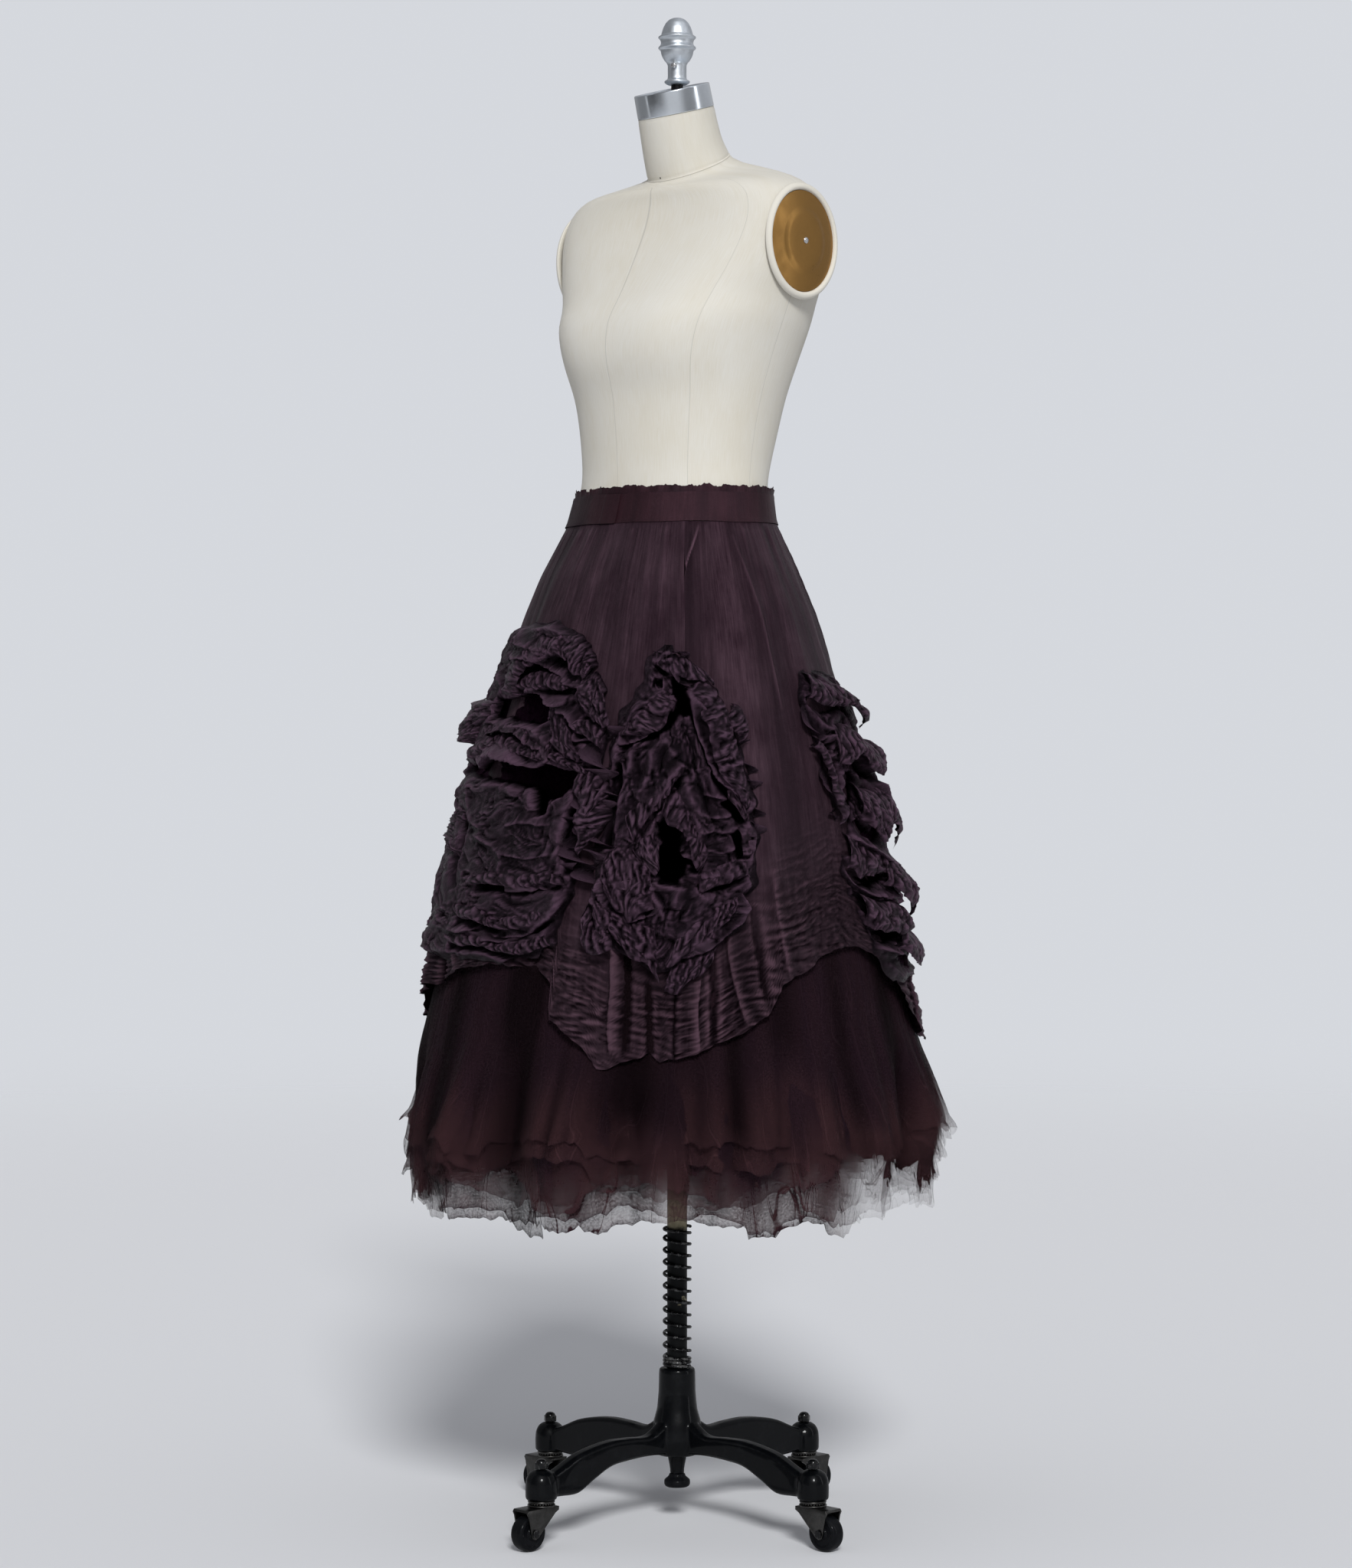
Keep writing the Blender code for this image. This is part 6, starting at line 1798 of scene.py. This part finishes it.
def spring_mesh(name):
    """A round wire coiled left-handed, from its top end down."""
    points, angle, height = [], math.radians(SPRING_START_ANGLE), SPRING_TOP
    for turns, pitch in SPRING_TURNS:
        for _ in range(round(turns * SPRING_STEPS)):
            points.append((SPRING_RADIUS * math.cos(angle), SPRING_RADIUS * math.sin(angle), height))
            angle += 2.0 * math.pi / SPRING_STEPS
            height -= pitch / SPRING_STEPS
    curve = bpy.data.curves.new(name, "CURVE")
    curve.dimensions = "3D"
    spline = curve.splines.new("POLY")
    spline.points.add(len(points) - 1)
    for knot, point in zip(spline.points, points):
        knot.co = (*point, 1.0)
    curve.bevel_depth = SPRING_WIRE
    curve.bevel_resolution = 3
    curve.use_fill_caps = True
    holder = bpy.data.objects.new(name, curve)
    bpy.context.scene.collection.objects.link(holder)
    mesh = evaluated_mesh(holder)
    bpy.data.objects.remove(holder)
    bpy.data.curves.remove(curve)
    mesh.shade_smooth()
    mesh.set_sharp_from_angle(angle=math.radians(60.0))
    return mesh


def evaluated_mesh(thing):
    bpy.context.view_layer.update()
    evaluated = thing.evaluated_get(bpy.context.evaluated_depsgraph_get())
    return bpy.data.meshes.new_from_object(evaluated)


class DRESSFORM_OT_spring(Operator):
    """Spring round the foot of the column"""

    bl_idname = "dress_form.spring"
    bl_label = "Column spring"

    def execute(self, context):
        new_piece("spring", spring_mesh("spring"), "Black steel", "base", "column_spring")
        return {"FINISHED"}


def leg_mesh(turn):
    """One S-shaped leg with chamfered edges, through its sections."""
    sections = np.array(LEG_SECTIONS, float)
    half, inner = LEG_HALF_WIDTH, LEG_HALF_WIDTH - LEG_CHAMFER
    bm = bmesh.new()
    loops = []
    for reach, top, bottom in through(sections, np.linspace(0.0, len(sections) - 1.0, LEG_STEPS)):
        side = ((half, top - LEG_CHAMFER), (half, bottom + LEG_CHAMFER), (inner, bottom))
        outline = ((-inner, top), (inner, top), *side, *((-y, z) for y, z in reversed(side)))
        verts = [bm.verts.new((reach, y, z)) for y, z in outline]
        loops.append([bm.edges.new(pair) for pair in zip(verts, verts[1:] + verts[:1])])
    for upper, lower in zip(loops, loops[1:]):
        bmesh.ops.bridge_loops(bm, edges=upper + lower)
    bmesh.ops.holes_fill(bm, edges=[edge for edge in bm.edges if edge.is_boundary])
    bmesh.ops.transform(bm, matrix=turn, verts=bm.verts)
    return finished_mesh(bm, "leg")


class DRESSFORM_OT_casting(Operator):
    """Hub, legs and end bosses as one casting"""

    bl_idname = "dress_form.casting"
    bl_label = "Base casting"

    def execute(self, context):
        parts = [spun_mesh("hub", HUB_PROFILE, 64, cut=0.003)]
        for angle in SIDES.values():
            turn = turned(angle, "Z")
            place = turn @ moved(PIVOT_REACH, 0.0, 0.0)
            parts += [leg_mesh(turn), spun_mesh("boss", BOSS_PROFILE, 48, place, 0.002)]
        thing = new_piece("casting", joined("casting", parts), "Painted iron", "base",
                          "base_casting")
        fused = thing.modifiers.new("fuse", "REMESH")
        fused.mode = "VOXEL"
        fused.voxel_size = 0.0015
        fused.use_smooth_shade = True
        fillet = thing.modifiers.new("fillet", "SMOOTH")
        fillet.factor = 0.5
        fillet.iterations = 7
        thinned = thing.modifiers.new("thinned", "DECIMATE")
        thinned.ratio = 0.4
        mesh = evaluated_mesh(thing)
        thing.modifiers.clear()
        thing.data = mesh
        mesh.shade_smooth()
        return {"FINISHED"}


class DRESSFORM_OT_foot(Operator):
    """Foot stem, pad and their small spring"""

    bl_idname = "dress_form.foot"
    bl_label = "Foot"

    def execute(self, context):
        spun_piece("stem", FOOT_STEM_PROFILE, 48, "Painted iron", "base", "foot_stem", cut=0.0008)
        spun_piece("pad", FOOT_PAD_PROFILE, 48, "Wheel rubber", "base", "foot_pad", cut=0.0014)
        give_finish(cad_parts["foot_spring"], "Bright steel")
        return {"FINISHED"}


def nut_mesh(pivot):
    """A hexagon with a domed top."""
    bm = bmesh.new()
    middle = moved(0.0, 0.0, 0.69 * NUT_BOTTOM + 0.31 * NUT_TOP)
    bmesh.ops.create_cone(bm, cap_ends=True, segments=6, radius1=NUT_RADIUS, radius2=NUT_RADIUS,
                          depth=0.62 * (NUT_TOP - NUT_BOTTOM), matrix=pivot @ middle)
    soften_edges(bm, 0.0009, 3, 30.0)
    dome = spun_mesh("dome", NUT_DOME, 32, pivot, 0.0008)
    nut = joined("nut", [finished_mesh(bm, "hex"), dome])
    nut.set_sharp_from_angle(angle=math.radians(30.0))
    return nut


def race_mesh(name, pivot):
    """Two pressed cups with a ring of balls between them."""
    cups = [spun_mesh("cup", cup, 48, pivot, 0.0003) for cup in (UPPER_CUP, LOWER_CUP)]
    bm = bmesh.new()
    for number in range(BALL_COUNT):
        turn = Matrix.Rotation(2.0 * math.pi * number / BALL_COUNT, 4, "Z")
        spot = pivot @ turn @ moved(BALL_RING, 0.0, BALL_HEIGHT)
        bmesh.ops.create_icosphere(bm, subdivisions=1, radius=BALL_RADIUS, matrix=spot)
    return joined(name, [*cups, finished_mesh(bm, "balls")])


def fork_mesh(name, node):
    """The CAD fork with its flat faces made whole and its edges softened."""
    bm = bmesh.new()
    bm.from_mesh(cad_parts[node].data)
    bmesh.ops.remove_doubles(bm, verts=bm.verts, dist=MERGE)
    bmesh.ops.dissolve_limit(bm, angle_limit=math.radians(1.0), verts=bm.verts, edges=bm.edges)
    soften_edges(bm, 0.0006, 2, 25.0)
    return finished_mesh(bm, name, 35.0)


class DRESSFORM_OT_casters(Operator):
    """Four casters: nut, ball race, fork, axle and wheel"""

    bl_idname = "dress_form.casters"
    bl_label = "Casters"

    def execute(self, context):
        head, end = FORK_HALF_WIDTH + 0.0002, FORK_HALF_WIDTH + 0.0018
        half = ((0.0, end), (AXLE_HEAD_RADIUS, end), (AXLE_HEAD_RADIUS, head), (AXLE_RADIUS, head))
        axle, wheel = (
            (*upper, *((radius, -offset) for radius, offset in reversed(upper)))
            for upper in (half, WHEEL_HALF_SECTION)
        )
        for side, angle in SIDES.items():
            pivot = turned(angle, "Z") @ moved(PIVOT_REACH, 0.0, 0.0)
            across = pivot @ moved(TRAIL, 0.0, AXLE_HEIGHT) @ turned(90.0, "X")
            swivel = f"caster_{side}"
            new_piece(f"nut_{side}", nut_mesh(pivot), "Black steel", "base", f"caster_nut_{side}")
            race, fork, node = f"race_{side}", f"fork_{side}", f"caster_fork_{side}"
            new_piece(race, race_mesh(race, pivot), "Caster steel", "base", f"caster_race_{side}")
            new_piece(fork, fork_mesh(fork, node), "Caster steel", swivel, node)
            spun_piece(f"axle_{side}", axle, 32, "Black steel", swivel, f"caster_axle_{side}",
                       matrix=across, cut=0.0005)
            spun_piece(f"wheel_{side}", wheel, 64, "Wheel rubber", f"wheel_{side}",
                       f"caster_wheel_{side}", matrix=across, cut=0.001, sharp=50.0)
        return {"FINISHED"}


# ---- stage ----
def aimed(thing, place, target):
    thing.location = place
    thing.rotation_mode = "QUATERNION"
    thing.rotation_quaternion = (Vector(target) - Vector(place)).to_track_quat("-Z", "Y")
    bpy.context.scene.collection.objects.link(thing)


def add_floor(colour):
    """A pale disc that fades out into the backdrop."""
    bm = bmesh.new()
    bmesh.ops.create_circle(bm, cap_ends=True, segments=96, radius=16.0)
    bmesh.ops.translate(bm, vec=(0.0, 0.0, -0.0004), verts=bm.verts)
    material, nodes, shader = blank_material(
        "Studio floor", 0.75, Specular_IOR_Level=0.15, Base_Color=(*colour, 1.0)
    )
    place = nodes.coordinates("Object")
    far = nodes.add("VectorMath", {0: place}, "Value", operation="LENGTH")
    nodes.give(shader["Alpha"], nodes.spread(far, 2.6, 7.5, 1.0, 0.0, "SMOOTHERSTEP"))
    floor = bpy.data.objects.new("floor", finished_mesh(bm, "floor"))
    bpy.context.scene.collection.objects.link(floor)
    floor.data.materials.append(material)


def add_world(ambient, backdrop):
    """The backdrop, the room's light and the soft boxes that glossy finishes reflect."""
    world = bpy.data.worlds.new("studio")
    bpy.context.scene.world = world
    world.use_nodes = True
    nodes = Nodes(world.node_tree)
    direction = nodes.coordinates("Generated")
    up = nodes.axis(direction, "Z")
    room = nodes.ramp(up, -0.4, 0.9, (0.7 * ambient,) * 3, scaled((1.1, 1.12, 1.16), ambient))
    azimuth = nodes.math("ARCTAN2", nodes.axis(direction, "Y"), nodes.axis(direction, "X"))
    levels = []
    for table in (ROOM_LIGHT, SOFT_BOXES):
        uneven = nodes.tree.nodes.new("ShaderNodeValToRGB")
        nodes.give(uneven.inputs["Fac"], nodes.spread(azimuth, -math.pi, math.pi))
        stops = uneven.color_ramp.elements
        stops.remove(stops[1])
        for number, (turn, level) in enumerate(table):
            stop = stops[0] if number == 0 else stops.new((turn + 180.0) / 360.0)
            stop.color = (level, level, level * 1.02, 1.0)
        levels.append(uneven.outputs["Color"])
    shine = nodes.mixed(nodes.add("LightPath", output="Is Glossy Ray"), *levels)
    lit = nodes.add("VectorMath", {0: room, 1: shine}, operation="MULTIPLY")
    shown = nodes.mixed(nodes.add("LightPath", output="Is Camera Ray"), lit, backdrop)
    nodes.give(nodes.tree.nodes["Background"].inputs["Color"], shown)


def add_key(strength):
    """A large, far soft light, at its azimuth from the camera's direction."""
    lamp = bpy.data.lights.new("key", "SUN")
    lamp.energy = strength
    lamp.angle = math.radians(KEY_SIZE)
    turn, rise = math.radians(CAMERA_AZIMUTH + KEY_AZIMUTH), math.radians(KEY_ELEVATION)
    away = Vector((math.cos(turn) * math.cos(rise), math.sin(turn) * math.cos(rise), math.sin(rise)))
    aimed(bpy.data.objects.new("key", lamp), 8.0 * away, (0.0, 0.0, 0.0))


def add_camera(distance, height):
    lens = bpy.data.cameras.new("camera")
    lens.lens = CAMERA_LENS
    lens.sensor_width = 36.0
    lens.sensor_fit = "AUTO"
    camera = bpy.data.objects.new("camera", lens)
    half = math.sqrt(0.5)
    place = (half * distance, -half * distance, height)
    aimed(camera, place, (CAMERA_TARGET[0] * half, CAMERA_TARGET[0] * half, CAMERA_TARGET[1]))
    bpy.context.scene.camera = camera


class DRESSFORM_OT_stage(Operator):
    """Floor, backdrop, lights and camera"""

    bl_idname = "dress_form.stage"
    bl_label = "Stage"

    def execute(self, context):
        stage = settings("stage")
        add_floor(stage.floor)
        add_world(stage.ambient, stage.backdrop)
        add_key(stage.key)
        add_camera(stage.camera_distance, stage.camera_height)
        context.scene.view_settings.view_transform = "Standard"
        return {"FINISHED"}


OPERATORS = (
    DRESSFORM_OT_body,
    DRESSFORM_OT_neck_fittings,
    DRESSFORM_OT_arm_plates,
    DRESSFORM_OT_waistband,
    DRESSFORM_OT_overskirt,
    DRESSFORM_OT_clusters,
    DRESSFORM_OT_tulle,
    DRESSFORM_OT_column,
    DRESSFORM_OT_spring,
    DRESSFORM_OT_casting,
    DRESSFORM_OT_foot,
    DRESSFORM_OT_casters,
    DRESSFORM_OT_stage,
)
GROUPS = {
    "skirt": SkirtSettings,
    "form": FormSettings,
    "stand": StandSettings,
    "stage": StageSettings,
}


class DRESSFORM_PT_sidebar(Panel):
    """The settings and the steps that build the skirt on its form"""

    bl_idname = "DRESSFORM_PT_sidebar"
    bl_label = "Dress Form"
    bl_space_type = "VIEW_3D"
    bl_region_type = "UI"
    bl_category = "Dress Form"

    def draw(self, context):
        for name in GROUPS:
            box = self.layout.box()
            box.label(text=name.capitalize())
            group = settings(name)
            for prop in group.bl_rna.properties:
                if prop.identifier not in ("rna_type", "name"):
                    box.prop(group, prop.identifier)
        for operator in OPERATORS:
            self.layout.operator(operator.bl_idname)


def register():
    for thing in (*GROUPS.values(), *OPERATORS, DRESSFORM_PT_sidebar):
        bpy.utils.register_class(thing)
    for name, group in GROUPS.items():
        setattr(bpy.types.Scene, f"dress_form_{name}", PointerProperty(type=group))


def unregister():
    for name in GROUPS:
        delattr(bpy.types.Scene, f"dress_form_{name}")
    for thing in reversed((*GROUPS.values(), *OPERATORS, DRESSFORM_PT_sidebar)):
        bpy.utils.unregister_class(thing)


def main():
    register()
    for operator in OPERATORS:
        getattr(bpy.ops.dress_form, operator.bl_idname.split(".")[1])()


if __name__ == "__main__":
    main()
